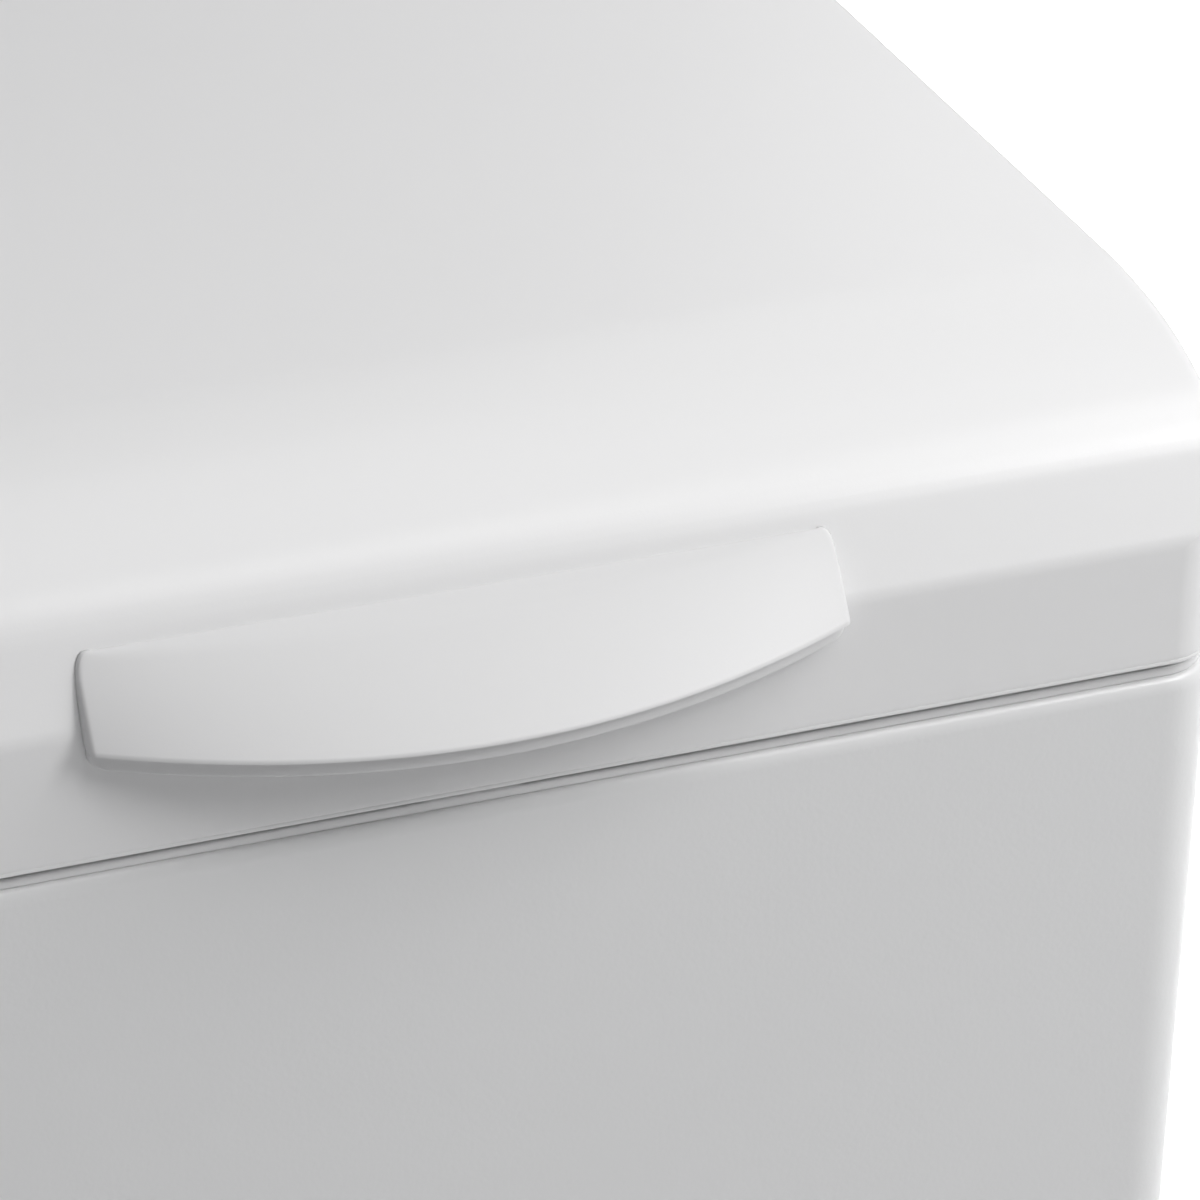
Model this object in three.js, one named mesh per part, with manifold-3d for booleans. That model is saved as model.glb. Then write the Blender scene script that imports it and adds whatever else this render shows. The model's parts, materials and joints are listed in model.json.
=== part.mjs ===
// Slim top load washing machine with a horizontal drum, in millimetres, +Z up, front towards -Y.
// The origin is on the floor, in the middle of the overall width and depth.
import * as THREE from "three";
import { mergeVertices } from "three/addons/utils/BufferGeometryUtils.js";
import Module from "manifold-3d";

const wasm = await Module();
wasm.setup();

// ---------------------------------------------------------------- driving dimensions
const WIDTH = 400;
const HALF = WIDTH / 2;
const FRONT = -276.5; // plane of the cabinet front
const BACK = 283.5; // plane of the rear panel
const GRIP_REACH = 27; // how far the lid's grip stands out in front of the cabinet
const SPIGOT_REACH = 20; // how far the hose spigots stand out behind the rear panel
const SHEET = 1.5; // cabinet sheet
const FIT = 0.3; // gap left between touching pieces
const CORNER = 15; // vertical corner radius of cabinet, deck and lid

const GAP_Z = 775; // bottom edge of the lid's skirt
const PANEL_TOP = GAP_Z - 4.3; // top edge of the cabinet sheets
const BASE_Z = 20;
const KICK_TOP = 110;
const KICK_HALF = HALF - CORNER - 3; // half width of the kick plate

const LID_HALF = 199.5;
const LID_REAR = 447.5; // lid depth behind the front plane
const LID_HEIGHT = 78;
const LID_WALL = 2.5;
const HINGE_X = 153; // middle of each hinge bracket, out from the machine's middle
const PIVOT = { y: 436.5, z: 69 }; // lid hinge axis behind the front plane, above the skirt's bottom edge
const PIN_R = 3;
const PIN_HALF = 12;
const EYE_R = 6;

const CONSOLE_FRONT = 176;
const CONSOLE_SLOPE = THREE.MathUtils.degToRad(22);
const CONSOLE_EDGE_Z = 855; // where the console's sloping face starts
const CONSOLE_FACE = 104; // length of the sloping face

const AXIS = { y: 3.5, z: 430 }; // drum axis
const DRUM_R = 232;
const DRUM_HALF = 133;
const TUB_IN = 248;
const TUB_WALL = 4;
const TUB_HALF = 147;
const NECK = { x: 126, y: 128, top: 700 }; // inside half sizes of the tub's neck
const DECK_HOLE = { x: 130, y: 131, bottom: 740 };
const DOOR_HALF = 88; // half depth of the drum's door opening
const DOOR_X = 110;

const PULLEY_R = 140;
const MOTOR_PULLEY_R = 11;
// The motor's axis from the drum axis, and its body, nose and shaft along X.
const MOTOR = { y: 175, z: -285, r: 56, x: [40, 140], nose: 20, noseEnd: 150, shaft: 4 };
const BELT_X = 165;
const BELT_WIDE = 12;
const WHEEL_X = [BELT_X - 1, BELT_X + BELT_WIDE + 1]; // both pulleys stand 1 mm past the belt

const PUMP = { x: 95, z: 72, r: 32, motor: 24, inlet: 14, outlet: 9, inletY: -175, inletTop: 112 };

// ---------------------------------------------------------------- finishes
const paint = (color, roughness, metalness = 0) =>
  new THREE.MeshStandardMaterial({ color, roughness, metalness });
const WHITE_PLASTIC = paint(0xf1f1ef, 0.35);
const WHITE_PAINT = paint(0xeceded, 0.3);
const GREY_PLASTIC = paint(0x8d9094, 0.5);
const TUB_PLASTIC = paint(0xc9cac6, 0.6);
const DARK_PLASTIC = paint(0x2b2d30, 0.5);
const BLACK_GLASS = paint(0x0d0f12, 0.1);
const CHROME = paint(0xd0d2d4, 0.2, 1);
const STAINLESS = paint(0xbfc2c4, 0.28, 1);
const ZINC = paint(0xa9adb0, 0.4, 1);
const ALUMINIUM = paint(0xb9bcbe, 0.45, 1);
const RUBBER = paint(0x6b6e71, 0.8);
const BLACK_RUBBER = paint(0x1c1d1e, 0.8);
const CONCRETE = paint(0x9a978f, 0.95);
const BOARD_GREEN = paint(0x23603a, 0.5);

// ---------------------------------------------------------------- solids
function solid(geometry) {
  const bare = geometry.index ? geometry.toNonIndexed() : geometry.clone();
  bare.deleteAttribute("normal");
  bare.deleteAttribute("uv");
  const merged = mergeVertices(bare, 1e-4);
  return new wasm.Manifold(
    new wasm.Mesh({
      numProp: 3,
      vertProperties: merged.attributes.position.array,
      triVerts: new Uint32Array(merged.index.array),
    }),
  );
}

function geometryOf(manifold) {
  const mesh = manifold.getMesh();
  const positions = new Float32Array(mesh.vertProperties);
  const made = new THREE.BufferGeometry();
  made.setAttribute("position", new THREE.BufferAttribute(positions, 3));
  made.setIndex(new THREE.BufferAttribute(new Uint32Array(mesh.triVerts), 1));
  const flat = made.toNonIndexed();
  flat.computeVertexNormals();
  return flat;
}

const join = (first, ...rest) => rest.reduce((whole, piece) => whole.add(piece), first);
const cut = (first, ...rest) => rest.reduce((whole, piece) => whole.subtract(piece), first);

function named(name, shape, material) {
  const geometry = shape.isBufferGeometry ? shape : geometryOf(shape);
  const mesh = new THREE.Mesh(geometry, material);
  mesh.name = name;
  return mesh;
}

// A box from its low and high bounds.
function block(x, y, z) {
  const geometry = new THREE.BoxGeometry(x[1] - x[0], y[1] - y[0], z[1] - z[0]);
  geometry.translate((x[0] + x[1]) / 2, (y[0] + y[1]) / 2, (z[0] + z[1]) / 2);
  return solid(geometry);
}

// Axes that carry a flat outline and its extrusion onto the part's axes.
const TO_X = new THREE.Matrix4().makeBasis(
  new THREE.Vector3(0, 1, 0),
  new THREE.Vector3(0, 0, 1),
  new THREE.Vector3(1, 0, 0),
);
const TO_Y = new THREE.Matrix4().makeBasis(
  new THREE.Vector3(1, 0, 0),
  new THREE.Vector3(0, 0, 1),
  new THREE.Vector3(0, -1, 0),
);

function extruded(outline, depth, curveSegments = 5) {
  const shape = outline instanceof THREE.Shape ? outline : new THREE.Shape(outline);
  return new THREE.ExtrudeGeometry(shape, { depth, bevelEnabled: false, curveSegments });
}

// Prisms: an outline in (x, y) raised along Z, in (y, z) along X, and in (x, z) along Y.
const prismZ = (outline, z, segments) =>
  solid(extruded(outline, z[1] - z[0], segments).translate(0, 0, z[0]));
const prismX = (outline, x, segments) =>
  solid(extruded(outline, x[1] - x[0], segments).applyMatrix4(TO_X).translate(x[0], 0, 0));
const prismY = (outline, y, segments) =>
  solid(extruded(outline, y[1] - y[0], segments).applyMatrix4(TO_Y).translate(0, y[1], 0));

// Round bars along X, Y and Z.
function barX(r, x, y = 0, z = 0, sides = 24) {
  const geometry = new THREE.CylinderGeometry(r, r, x[1] - x[0], sides);
  return solid(geometry.rotateZ(Math.PI / 2).translate((x[0] + x[1]) / 2, y, z));
}
function barY(r, y, x = 0, z = 0, sides = 24) {
  const geometry = new THREE.CylinderGeometry(r, r, y[1] - y[0], sides);
  return solid(geometry.translate(x, (y[0] + y[1]) / 2, z));
}
function barZ(r, z, x = 0, y = 0, sides = 24) {
  const geometry = new THREE.CylinderGeometry(r, r, z[1] - z[0], sides);
  return solid(geometry.rotateX(Math.PI / 2).translate(x, y, (z[0] + z[1]) / 2));
}

// A profile of [radius, height] points turned about Z.
function turned(profile, sides = 20) {
  const points = profile.map(([r, h]) => new THREE.Vector2(r, h));
  return solid(new THREE.LatheGeometry(points, sides).rotateX(Math.PI / 2));
}

// A round tube along a smooth curve through the given points.
function tube(points, r, steps, sides = 8) {
  const section = new THREE.Shape();
  section.absarc(0, 0, r, 0, 2 * Math.PI, false);
  const path = new THREE.CatmullRomCurve3(points.map((p) => new THREE.Vector3(...p)));
  return solid(
    new THREE.ExtrudeGeometry(section, {
      steps,
      extrudePath: path,
      bevelEnabled: false,
      curveSegments: sides,
    }),
  );
}

// A rectangle with round corners; a radius of 0 keeps the two rear corners square.
function roundedRect(x, y, frontRadius, rearRadius = 0) {
  const shape = new THREE.Shape();
  shape.moveTo(x[0] + frontRadius, y[0]);
  shape.lineTo(x[1] - frontRadius, y[0]);
  if (frontRadius) {
    shape.absarc(x[1] - frontRadius, y[0] + frontRadius, frontRadius, -Math.PI / 2, 0, false);
  }
  shape.lineTo(x[1], y[1] - rearRadius);
  if (rearRadius) {
    shape.absarc(x[1] - rearRadius, y[1] - rearRadius, rearRadius, 0, Math.PI / 2, false);
  }
  shape.lineTo(x[0] + rearRadius, y[1]);
  if (rearRadius) {
    shape.absarc(x[0] + rearRadius, y[1] - rearRadius, rearRadius, Math.PI / 2, Math.PI, false);
  }
  shape.lineTo(x[0], y[0] + frontRadius);
  if (frontRadius) {
    shape.absarc(x[0] + frontRadius, y[0] + frontRadius, frontRadius, Math.PI, 1.5 * Math.PI, false);
  }
  return shape;
}

const span = (half) => [-half, half];
const point = (x, y) => new THREE.Vector2(x, y);

// ---------------------------------------------------------------- cabinet
const SPRINGS = { x: 182, low: 592, high: 700, r: 8, wire: 1.6, turns: 6, perTurn: 7, lead: 16 };
const HANGER = { inner: 170, half: 14, thick: 3 }; // shelf on the cabinet wall that holds a spring
const OVER = 1; // how far a cutting tool runs past the piece that it cuts

function cabinetWrap() {
  const z = [BASE_Z, PANEL_TOP];
  const outer = prismZ(roundedRect(span(HALF), [FRONT, BACK], CORNER), z);
  const inside = roundedRect(span(HALF - SHEET), [FRONT + SHEET, BACK + OVER], CORNER - SHEET);
  const hollow = prismZ(inside, [z[0] - OVER, z[1] + OVER]);
  const kickOpening = block(span(KICK_HALF + 1), [FRONT - OVER, FRONT + 20], [0, KICK_TOP]);
  let wrap = cut(outer, hollow, kickOpening);
  const hangerY = [AXIS.y - HANGER.half, AXIS.y + HANGER.half];
  const hangerZ = [SPRINGS.high + FIT, SPRINGS.high + HANGER.thick];
  for (const x of [[HANGER.inner, HALF - 0.5], [-HALF + 0.5, -HANGER.inner]]) {
    wrap = wrap.add(block(x, hangerY, hangerZ));
  }
  return named("cabinet_wrap", wrap, WHITE_PAINT);
}

const INLET = { x: 140, z: 700, r: 13 };
const DRAIN = { x: 150, z: 620, r: 11 };
const GLAND = { x: -150, z: 150, r: 8 };
const RECESS = { half: 120, low: 180, high: 560, deep: 4, wall: 1.5 }; // dished field of the rear panel

function rearPanel() {
  const z = [BASE_Z + 6, PANEL_TOP];
  const face = BACK - 0.5;
  const sheetY = [face - SHEET, face];
  const plate = block(span(HALF - SHEET - FIT), sheetY, z);
  const outerX = span(RECESS.half);
  const outerZ = [RECESS.low, RECESS.high];
  const innerX = span(RECESS.half - RECESS.wall);
  const innerZ = [RECESS.low + RECESS.wall, RECESS.high - RECESS.wall];
  const floorY = sheetY[0] - RECESS.deep;
  const recess = block(outerX, [floorY, floorY + RECESS.wall], outerZ);
  const recessWalls = cut(
    block(outerX, [floorY, face], outerZ),
    block(innerX, [floorY - OVER, BACK], innerZ),
  );
  const recessHole = block(innerX, [sheetY[0] - OVER, BACK], innerZ);
  const panel = join(cut(plate, recessHole), recess, recessWalls);
  const holes = [INLET, DRAIN, GLAND].map((at) =>
    barY(at.r + 3, [floorY - OVER, BACK + OVER], at.x, at.z, 20),
  );
  return named("rear_panel", cut(panel, ...holes), ZINC);
}

const FEET = { x: 165, front: -240, rear: 250, pad: 19, stem: 5, stemTop: 48 };
const TRAY_TOP = 60; // rim of the base tray
const TRAY_FLOOR = BASE_Z + 4;

function baseTray() {
  const x = span(HALF - SHEET - 1);
  const y = [FRONT + 4.5, BACK - 2.5];
  const wall = 3;
  const rim = TRAY_TOP + OVER;
  const outer = prismZ(roundedRect(x, y, CORNER - SHEET), [BASE_Z, TRAY_TOP]);
  const hollowY = [y[0] + wall + 4, y[1] - wall];
  const hollow = block([x[0] + wall, x[1] - wall], hollowY, [TRAY_FLOOR, rim]);
  const pumpNotch = block([PUMP.x - 50, PUMP.x + 50], [FRONT, FRONT + 20], [BASE_Z + 8, rim]);
  const stems = [FEET.front, FEET.rear].flatMap((yFoot) =>
    [-1, 1].map((side) => barZ(FEET.stem + FIT, [0, TRAY_TOP], side * FEET.x, yFoot, 16)),
  );
  return named("base_tray", cut(outer, hollow, pumpNotch, ...stems), GREY_PLASTIC);
}

function foot(name, x, y) {
  const profile = [
    [0, 0],
    [FEET.pad, 0],
    [FEET.pad, 6],
    [FEET.pad - 4, 12],
    [FEET.stem + 4, 14],
    [FEET.stem + 4, BASE_Z - FIT],
    [FEET.stem, BASE_Z - FIT],
    [FEET.stem, FEET.stemTop],
    [0, FEET.stemTop],
  ];
  const mesh = named(name, turned(profile, 16), BLACK_RUBBER);
  mesh.position.set(x, y, 0);
  return mesh;
}

const FLAP = { x: [30, 160], z: [34, 102], gap: 1, thick: 2.2, notch: 9 };

function kickPlate() {
  const thick = 2.5;
  const plate = block(span(KICK_HALF), [FRONT, FRONT + thick], [BASE_Z + 4, KICK_TOP - 1]);
  const opening = block(FLAP.x, [FRONT - OVER, FRONT + thick + OVER], FLAP.z);
  return named("kick_plate", cut(plate, opening), WHITE_PLASTIC);
}

function filterFlap() {
  const x = [FLAP.x[0] + FLAP.gap, FLAP.x[1] - FLAP.gap];
  const z = [FLAP.z[0] + FLAP.gap, FLAP.z[1] - FLAP.gap];
  const panel = block(x, [FRONT, FRONT + FLAP.thick], z);
  const through = [FRONT - OVER, FRONT + FLAP.thick + OVER];
  const fingerNotch = barY(FLAP.notch, through, (x[0] + x[1]) / 2, FLAP.z[1] + 4, 16);
  return named("filter_flap", cut(panel, fingerNotch), WHITE_PLASTIC);
}

function drainPump() {
  const y = [FRONT + 22, -150];
  const housing = barY(PUMP.r, y, PUMP.x, PUMP.z, 20);
  const motor = barY(PUMP.motor, [y[1] - 1, y[1] + 45], PUMP.x, PUMP.z, 16);
  const footX = [PUMP.x - 26, PUMP.x + 26];
  const footBlock = block(footX, [y[0] + 9.5, y[1] - 15], [TRAY_FLOOR + FIT, PUMP.z - 20]);
  const inlet = barZ(PUMP.inlet, [PUMP.z, PUMP.inletTop], PUMP.x, PUMP.inletY, 12);
  const outlet = barX(PUMP.outlet, [PUMP.x - 55, PUMP.x], y[1] - 50, PUMP.z + 10, 12);
  return named("drain_pump", join(housing, motor, footBlock, inlet, outlet), DARK_PLASTIC);
}

function filterCap() {
  const y = [FRONT + 12, FRONT + 21.5];
  const disc = barY(29, [y[0] + 5, y[1]], 0, 0, 24);
  const grip = block([-22, 22], y, [-4, 4]);
  const mesh = named("filter_cap", join(disc, grip), DARK_PLASTIC);
  mesh.position.set(PUMP.x, 0, PUMP.z);
  return mesh;
}

function sumpHose() {
  const points = [
    [40, -20, 170],
    [44, -28, 152],
    [62, -80, 140],
    [86, -150, 142],
    [PUMP.x, PUMP.inletY + 3, 132],
    [PUMP.x, PUMP.inletY, PUMP.inletTop + 4 + FIT],
  ];
  return named("sump_hose", tube(points, 13, 16), BLACK_RUBBER);
}

// A threaded water connection with its solenoid block behind the rear panel.
function inletValve() {
  const end = BACK + SPIGOT_REACH;
  const spigot = barY(INLET.r, [BACK - 40, end], 0, 0, 24);
  const bore = barY(INLET.r - 5, [BACK - 10, end + 1], 0, 0, 16);
  const flange = block([-24, 24], [BACK - 9, BACK - 2 - FIT], [-18, 18]);
  const coil = block([-20, 20], [BACK - 62, BACK - 38], [-16, 16]);
  const mesh = named("inlet_valve", cut(join(spigot, flange, coil), bore), WHITE_PLASTIC);
  mesh.position.set(INLET.x, 0, INLET.z);
  return mesh;
}

function drainOutlet() {
  const end = BACK + SPIGOT_REACH - 2;
  const body = join(
    barY(DRAIN.r, [BACK - 30, end], 0, 0, 20),
    barY(DRAIN.r + 1.5, [end - 5, end - 2], 0, 0, 20),
    block([-18, 18], [BACK - 5, BACK - 2 - FIT], [-18, 18]),
  );
  const bore = barY(DRAIN.r - 2.5, [BACK - 28, end + 1], 0, 0, 16);
  const mesh = named("drain_outlet", cut(body, bore), DARK_PLASTIC);
  mesh.position.set(DRAIN.x, 0, DRAIN.z);
  return mesh;
}

// The strain relief that the mains lead leaves by.
function mainsGland() {
  const profile = [
    [0, -14],
    [12, -14],
    [12, -2.5],
    [GLAND.r, -2.5],
    [GLAND.r, 2],
    [6.5, 16],
    [0, 16],
  ];
  const mesh = named("mains_gland", turned(profile, 16), BLACK_RUBBER);
  mesh.rotation.x = -Math.PI / 2;
  mesh.position.set(GLAND.x, BACK, GLAND.z);
  return mesh;
}

// ---------------------------------------------------------------- deck
const DISPENSER = { x: 136, front: -252, rear: -139, floor: 702, wall: 2.5, flange: 5 };
const SPOUT = { x: -60, y: -180, r: 16, bore: 13, length: 18 }; // where the dispenser empties
const HOOK_SLOT = { x: 12, y: [-272, -259] };
const DECK_TOP = GAP_Z - 1.5;
const DECK = { inset: 0.8, drop: 6, gap: 2, collar: 3 }; // rim in from the cabinet, plate under it

function topDeck() {
  const rear = CONSOLE_FRONT - FIT;
  const { inset, drop, gap, collar } = DECK;
  const slab = (by, z) =>
    prismZ(roundedRect(span(HALF - by), [FRONT + by, rear], CORNER - by), z);
  const lip = slab(inset, [PANEL_TOP + FIT, DECK_TOP]);
  const plate = slab(SHEET + gap, [PANEL_TOP - drop, DECK_TOP - 1]);
  const holeY = [AXIS.y - DECK_HOLE.y, AXIS.y + DECK_HOLE.y];
  const neck = block(
    span(DECK_HOLE.x + collar),
    [holeY[0] - collar, holeY[1] + collar],
    [DECK_HOLE.bottom, DECK_TOP - 1],
  );
  const through = [DECK_HOLE.bottom - 1, GAP_Z];
  const hole = block(span(DECK_HOLE.x), holeY, through);
  const pocketY = [DISPENSER.front - 1, DISPENSER.rear + 1];
  const pocket = block(span(DISPENSER.x + 1), pocketY, through);
  const slot = block(span(HOOK_SLOT.x), HOOK_SLOT.y, through);
  return named("top_deck", cut(join(lip, plate, neck), hole, pocket, slot), WHITE_PLASTIC);
}

function dispenserHousing() {
  const { front, rear, floor, wall } = DISPENSER;
  const flangeZ = [DECK_TOP + FIT, DECK_TOP + 2];
  const flange = block(span(DISPENSER.x + DISPENSER.flange), [front - 4, rear + wall], flangeZ);
  const box = block(span(DISPENSER.x), [front, rear], [floor, flangeZ[1]]);
  const hollowY = [front + wall, rear - wall];
  const hollow = block(span(DISPENSER.x - wall), hollowY, [floor + wall, flangeZ[1] + OVER]);
  const spoutLow = floor - SPOUT.length;
  const spout = barZ(SPOUT.r, [spoutLow, floor + 1], SPOUT.x, SPOUT.y, 12);
  const boreZ = [spoutLow - OVER, floor + wall + OVER];
  const spoutBore = barZ(SPOUT.bore, boreZ, SPOUT.x, SPOUT.y, 12);
  return named("dispenser_housing", cut(join(flange, box, spout), hollow, spoutBore), WHITE_PLASTIC);
}

const TRAY = { x: 131, front: -248, rear: -143, floor: 705, top: 782, wall: 2, cells: 4 };

// Compartments side by side, with a raised grip at the middle of the rear wall.
function dispenserTray() {
  let tray = block(span(TRAY.x), [TRAY.front, TRAY.rear], [TRAY.floor, TRAY.top]);
  const pitch = (2 * TRAY.x - TRAY.wall) / TRAY.cells;
  for (let i = 0; i < TRAY.cells; i++) {
    const left = -TRAY.x + TRAY.wall + i * pitch;
    const pocket = block(
      [left, left + pitch - TRAY.wall],
      [TRAY.front + TRAY.wall, TRAY.rear - TRAY.wall],
      [TRAY.floor + TRAY.wall, TRAY.top + 1],
    );
    tray = tray.subtract(pocket);
  }
  const gripY = [TRAY.rear - TRAY.wall, TRAY.rear];
  const grip = block(span(22), gripY, [TRAY.top - 1, TRAY.top + 10]);
  return named("dispenser_tray", tray.add(grip), WHITE_PLASTIC);
}

const LOCK = { half: 32, low: 744, high: 764, floor: 6 };

function lidLock() {
  const y = [HOOK_SLOT.y[0], HOOK_SLOT.y[1] + 3];
  const body = block(span(LOCK.half), y, [LOCK.low, LOCK.high]);
  const mouthZ = [LOCK.low + LOCK.floor, LOCK.high + OVER];
  const mouth = block(span(HOOK_SLOT.x), HOOK_SLOT.y, mouthZ);
  return named("lid_lock", cut(body, mouth), DARK_PLASTIC);
}

// The rubber bellows between the deck's neck and the tub's neck: thin-walled, with one fold outwards.
const BELLOWS = { gap: 0.5, wall: 3.5, fold: 8, foldHalf: 7 };

function doorBellows() {
  const z = [NECK.top + FIT, DECK_HOLE.bottom - FIT];
  const middle = (z[0] + z[1]) / 2;
  const ring = (grow, low, high) =>
    block(
      span(NECK.x + grow),
      [AXIS.y - NECK.y - grow, AXIS.y + NECK.y + grow],
      [low, high],
    );
  const { gap, wall, fold, foldHalf } = BELLOWS;
  const folded = foldHalf - wall + 0.5;
  const outer = join(
    ring(gap + wall, z[0], z[1]),
    ring(gap + wall + fold, middle - foldHalf, middle + foldHalf),
  );
  const inner = join(
    ring(gap, z[0] - OVER, z[1] + OVER),
    ring(gap + fold, middle - folded, middle + folded),
  );
  return named("door_bellows", cut(outer, inner), RUBBER);
}

const BRACKET = { stem: 3, base: 14, front: 10, rear: 11, thick: 3 }; // half widths, then the base plate

function hingeBracket(name, side) {
  const middle = side * HINGE_X;
  const x = [middle - BRACKET.stem, middle + BRACKET.stem];
  const pivotY = FRONT + PIVOT.y;
  const pivotZ = GAP_Z + PIVOT.z;
  const baseX = [middle - BRACKET.base, middle + BRACKET.base];
  const baseY = [pivotY - BRACKET.front, pivotY + BRACKET.rear];
  const base = block(baseX, baseY, [DECK_TOP + FIT, DECK_TOP + BRACKET.thick]);
  const stem = block(x, [pivotY - EYE_R, pivotY + EYE_R], [DECK_TOP + 2, pivotZ]);
  const eye = barX(EYE_R, x, pivotY, pivotZ, 20);
  const bore = barX(PIN_R + FIT, [x[0] - OVER, x[1] + OVER], pivotY, pivotZ, 16);
  return named(name, cut(join(base, stem, eye), bore), GREY_PLASTIC);
}

// ---------------------------------------------------------------- console
// Frame of the sloping face: x across, y up the slope, z out of it.
function consoleFace() {
  const face = new THREE.Group();
  face.position.set(0, CONSOLE_FRONT, CONSOLE_EDGE_Z);
  face.rotation.x = CONSOLE_SLOPE;
  return face;
}

const FACE_MID = 54;
const KNOB = { x: -92, r: 24, stem: 3, low: 0.8, shoulder: 4, tall: 18, round: 2 };
const DISPLAY = { x: 6, half: 46, deep: 20 };
// The fascia lies on a ledge of the housing all round.
const FASCIA = { half: 186, low: 8, high: 100, thick: 2.5, ledge: 8 };
const POWER_BUTTON = { name: "power_button", x: -158, r: 10 };
const START_BUTTON = { name: "start_button", x: 156, r: 14 };
const OPTION_BUTTONS = [
  { name: "option_button_1", x: 78, half: 11, deep: 7 },
  { name: "option_button_2", x: 112, half: 11, deep: 7 },
];
const BUTTON_TOP = FASCIA.thick + 3.5;
const KNOB_ROOT = -9; // the knob's stem and the buttons reach this far under the face
const BUTTON_ROOT = -8;
const BUTTON_GAP = 0.5;
const BOARD = { half: 170, deep: 30, low: -16, thick: 1.6, encoder: 8, encoderTop: -9.5 };

// Behind the sloping face the housing rises by a step.
const HOUSING = { wall: 2.5, side: 0.5, low: 4, step: 3.5, stepRun: 4 };

// The housing's outline in (y, z), grown inwards by the wall.
function consoleOutline(wall) {
  const rise = Math.sin(CONSOLE_SLOPE) * CONSOLE_FACE;
  const run = Math.cos(CONSOLE_SLOPE) * CONSOLE_FACE;
  const low = GAP_Z - HOUSING.low - (wall ? 1 : 0);
  const drop = wall / Math.cos(CONSOLE_SLOPE);
  const topZ = CONSOLE_EDGE_Z + rise;
  const rearTop = topZ + HOUSING.step;
  return [
    point(CONSOLE_FRONT + wall, low),
    point(BACK - wall, low),
    point(BACK - wall, rearTop - wall),
    point(CONSOLE_FRONT + run + HOUSING.stepRun, rearTop - wall),
    point(CONSOLE_FRONT + run, topZ - drop),
    point(CONSOLE_FRONT + wall, CONSOLE_EDGE_Z - drop + wall * Math.tan(CONSOLE_SLOPE)),
  ];
}

function consoleHousing() {
  const outer = prismX(consoleOutline(0), span(HALF - HOUSING.side));
  const hollow = prismX(consoleOutline(HOUSING.wall), span(HALF - HOUSING.side - HOUSING.wall));
  const { half, low, high, ledge } = FASCIA;
  const window = block(span(half - ledge), [low + ledge, high - ledge], span(12));
  const turn = THREE.MathUtils.radToDeg(CONSOLE_SLOPE);
  const placed = window.rotate([turn, 0, 0]).translate([0, CONSOLE_FRONT, CONSOLE_EDGE_Z]);
  return named("console_housing", cut(outer, hollow, placed), WHITE_PLASTIC);
}

function consoleFascia() {
  const z = [FIT, FASCIA.thick];
  const through = [-1, FASCIA.thick + 1];
  let plate = block(span(FASCIA.half), [FASCIA.low, FASCIA.high], z);
  plate = plate.subtract(barZ(KNOB.stem + 1, through, KNOB.x, FACE_MID, 16));
  for (const round of [POWER_BUTTON, START_BUTTON]) {
    plate = plate.subtract(barZ(round.r + BUTTON_GAP, through, round.x, FACE_MID, 24));
  }
  for (const key of OPTION_BUTTONS) {
    const x = [key.x - key.half - BUTTON_GAP, key.x + key.half + BUTTON_GAP];
    const y = [FACE_MID - key.deep - BUTTON_GAP, FACE_MID + key.deep + BUTTON_GAP];
    plate = plate.subtract(block(x, y, through));
  }
  const window = [DISPLAY.x - DISPLAY.half - FIT, DISPLAY.x + DISPLAY.half + FIT];
  const glass = [FACE_MID - DISPLAY.deep - FIT, FACE_MID + DISPLAY.deep + FIT];
  return named("console_fascia", plate.subtract(block(window, glass, through)), GREY_PLASTIC);
}

function displayWindow() {
  const x = [DISPLAY.x - DISPLAY.half, DISPLAY.x + DISPLAY.half];
  const y = [FACE_MID - DISPLAY.deep, FACE_MID + DISPLAY.deep];
  return named("display_window", block(x, y, [FIT, FASCIA.thick + 0.5]), BLACK_GLASS);
}

function controlBoard() {
  const top = BOARD.low + BOARD.thick;
  const y = [FACE_MID - BOARD.deep, FACE_MID + BOARD.deep];
  const board = block(span(BOARD.half), y, [BOARD.low, top]);
  const half = BOARD.encoder;
  const encoder = block(
    [KNOB.x - half, KNOB.x + half],
    [FACE_MID - half, FACE_MID + half],
    [top - 0.6, BOARD.encoderTop],
  );
  return named("control_board", join(board, encoder), BOARD_GREEN);
}

function programKnob() {
  const base = FASCIA.thick;
  const top = base + KNOB.tall;
  const skirt = [
    [0, KNOB_ROOT],
    [KNOB.stem, KNOB_ROOT],
    [KNOB.stem, base + KNOB.low],
    [KNOB.r + 2, base + KNOB.low],
    [KNOB.r + 1, base + KNOB.shoulder],
    [KNOB.r - 1, top - KNOB.round],
    [KNOB.r - 1 - KNOB.round, top],
    [0, top],
  ];
  const mesh = named("program_knob", turned(skirt, 32), CHROME);
  mesh.position.set(KNOB.x, FACE_MID, 0);
  return mesh;
}

function roundButton(spec) {
  const cap = barZ(spec.r, [BUTTON_ROOT, BUTTON_TOP], 0, 0, 24);
  const mesh = named(spec.name, cap, WHITE_PLASTIC);
  mesh.position.set(spec.x, FACE_MID, 0);
  return mesh;
}

function keyButton(spec) {
  const key = block(span(spec.half), span(spec.deep), [BUTTON_ROOT, BUTTON_TOP]);
  const mesh = named(spec.name, key, WHITE_PLASTIC);
  mesh.position.set(spec.x, FACE_MID, 0);
  return mesh;
}

// ---------------------------------------------------------------- lid
// In the lid's frame y runs back from the cabinet's front plane and z up from the skirt's bottom edge.
const CROWN = [
  { r: 210, turn: 8, steps: 2 },
  { r: 105, turn: 17.5, steps: 4 },
  { r: 30, turn: 37, steps: 5 },
];
const BEVEL = 18.42; // length of the straight bevel between the crown and the skirt's fillet
const SKIRT_FILLET = { r: 9, turn: 27.5, steps: 4 };
const CROWN_REACH = 83.1; // from the front plane back to where the flat top starts

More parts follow.
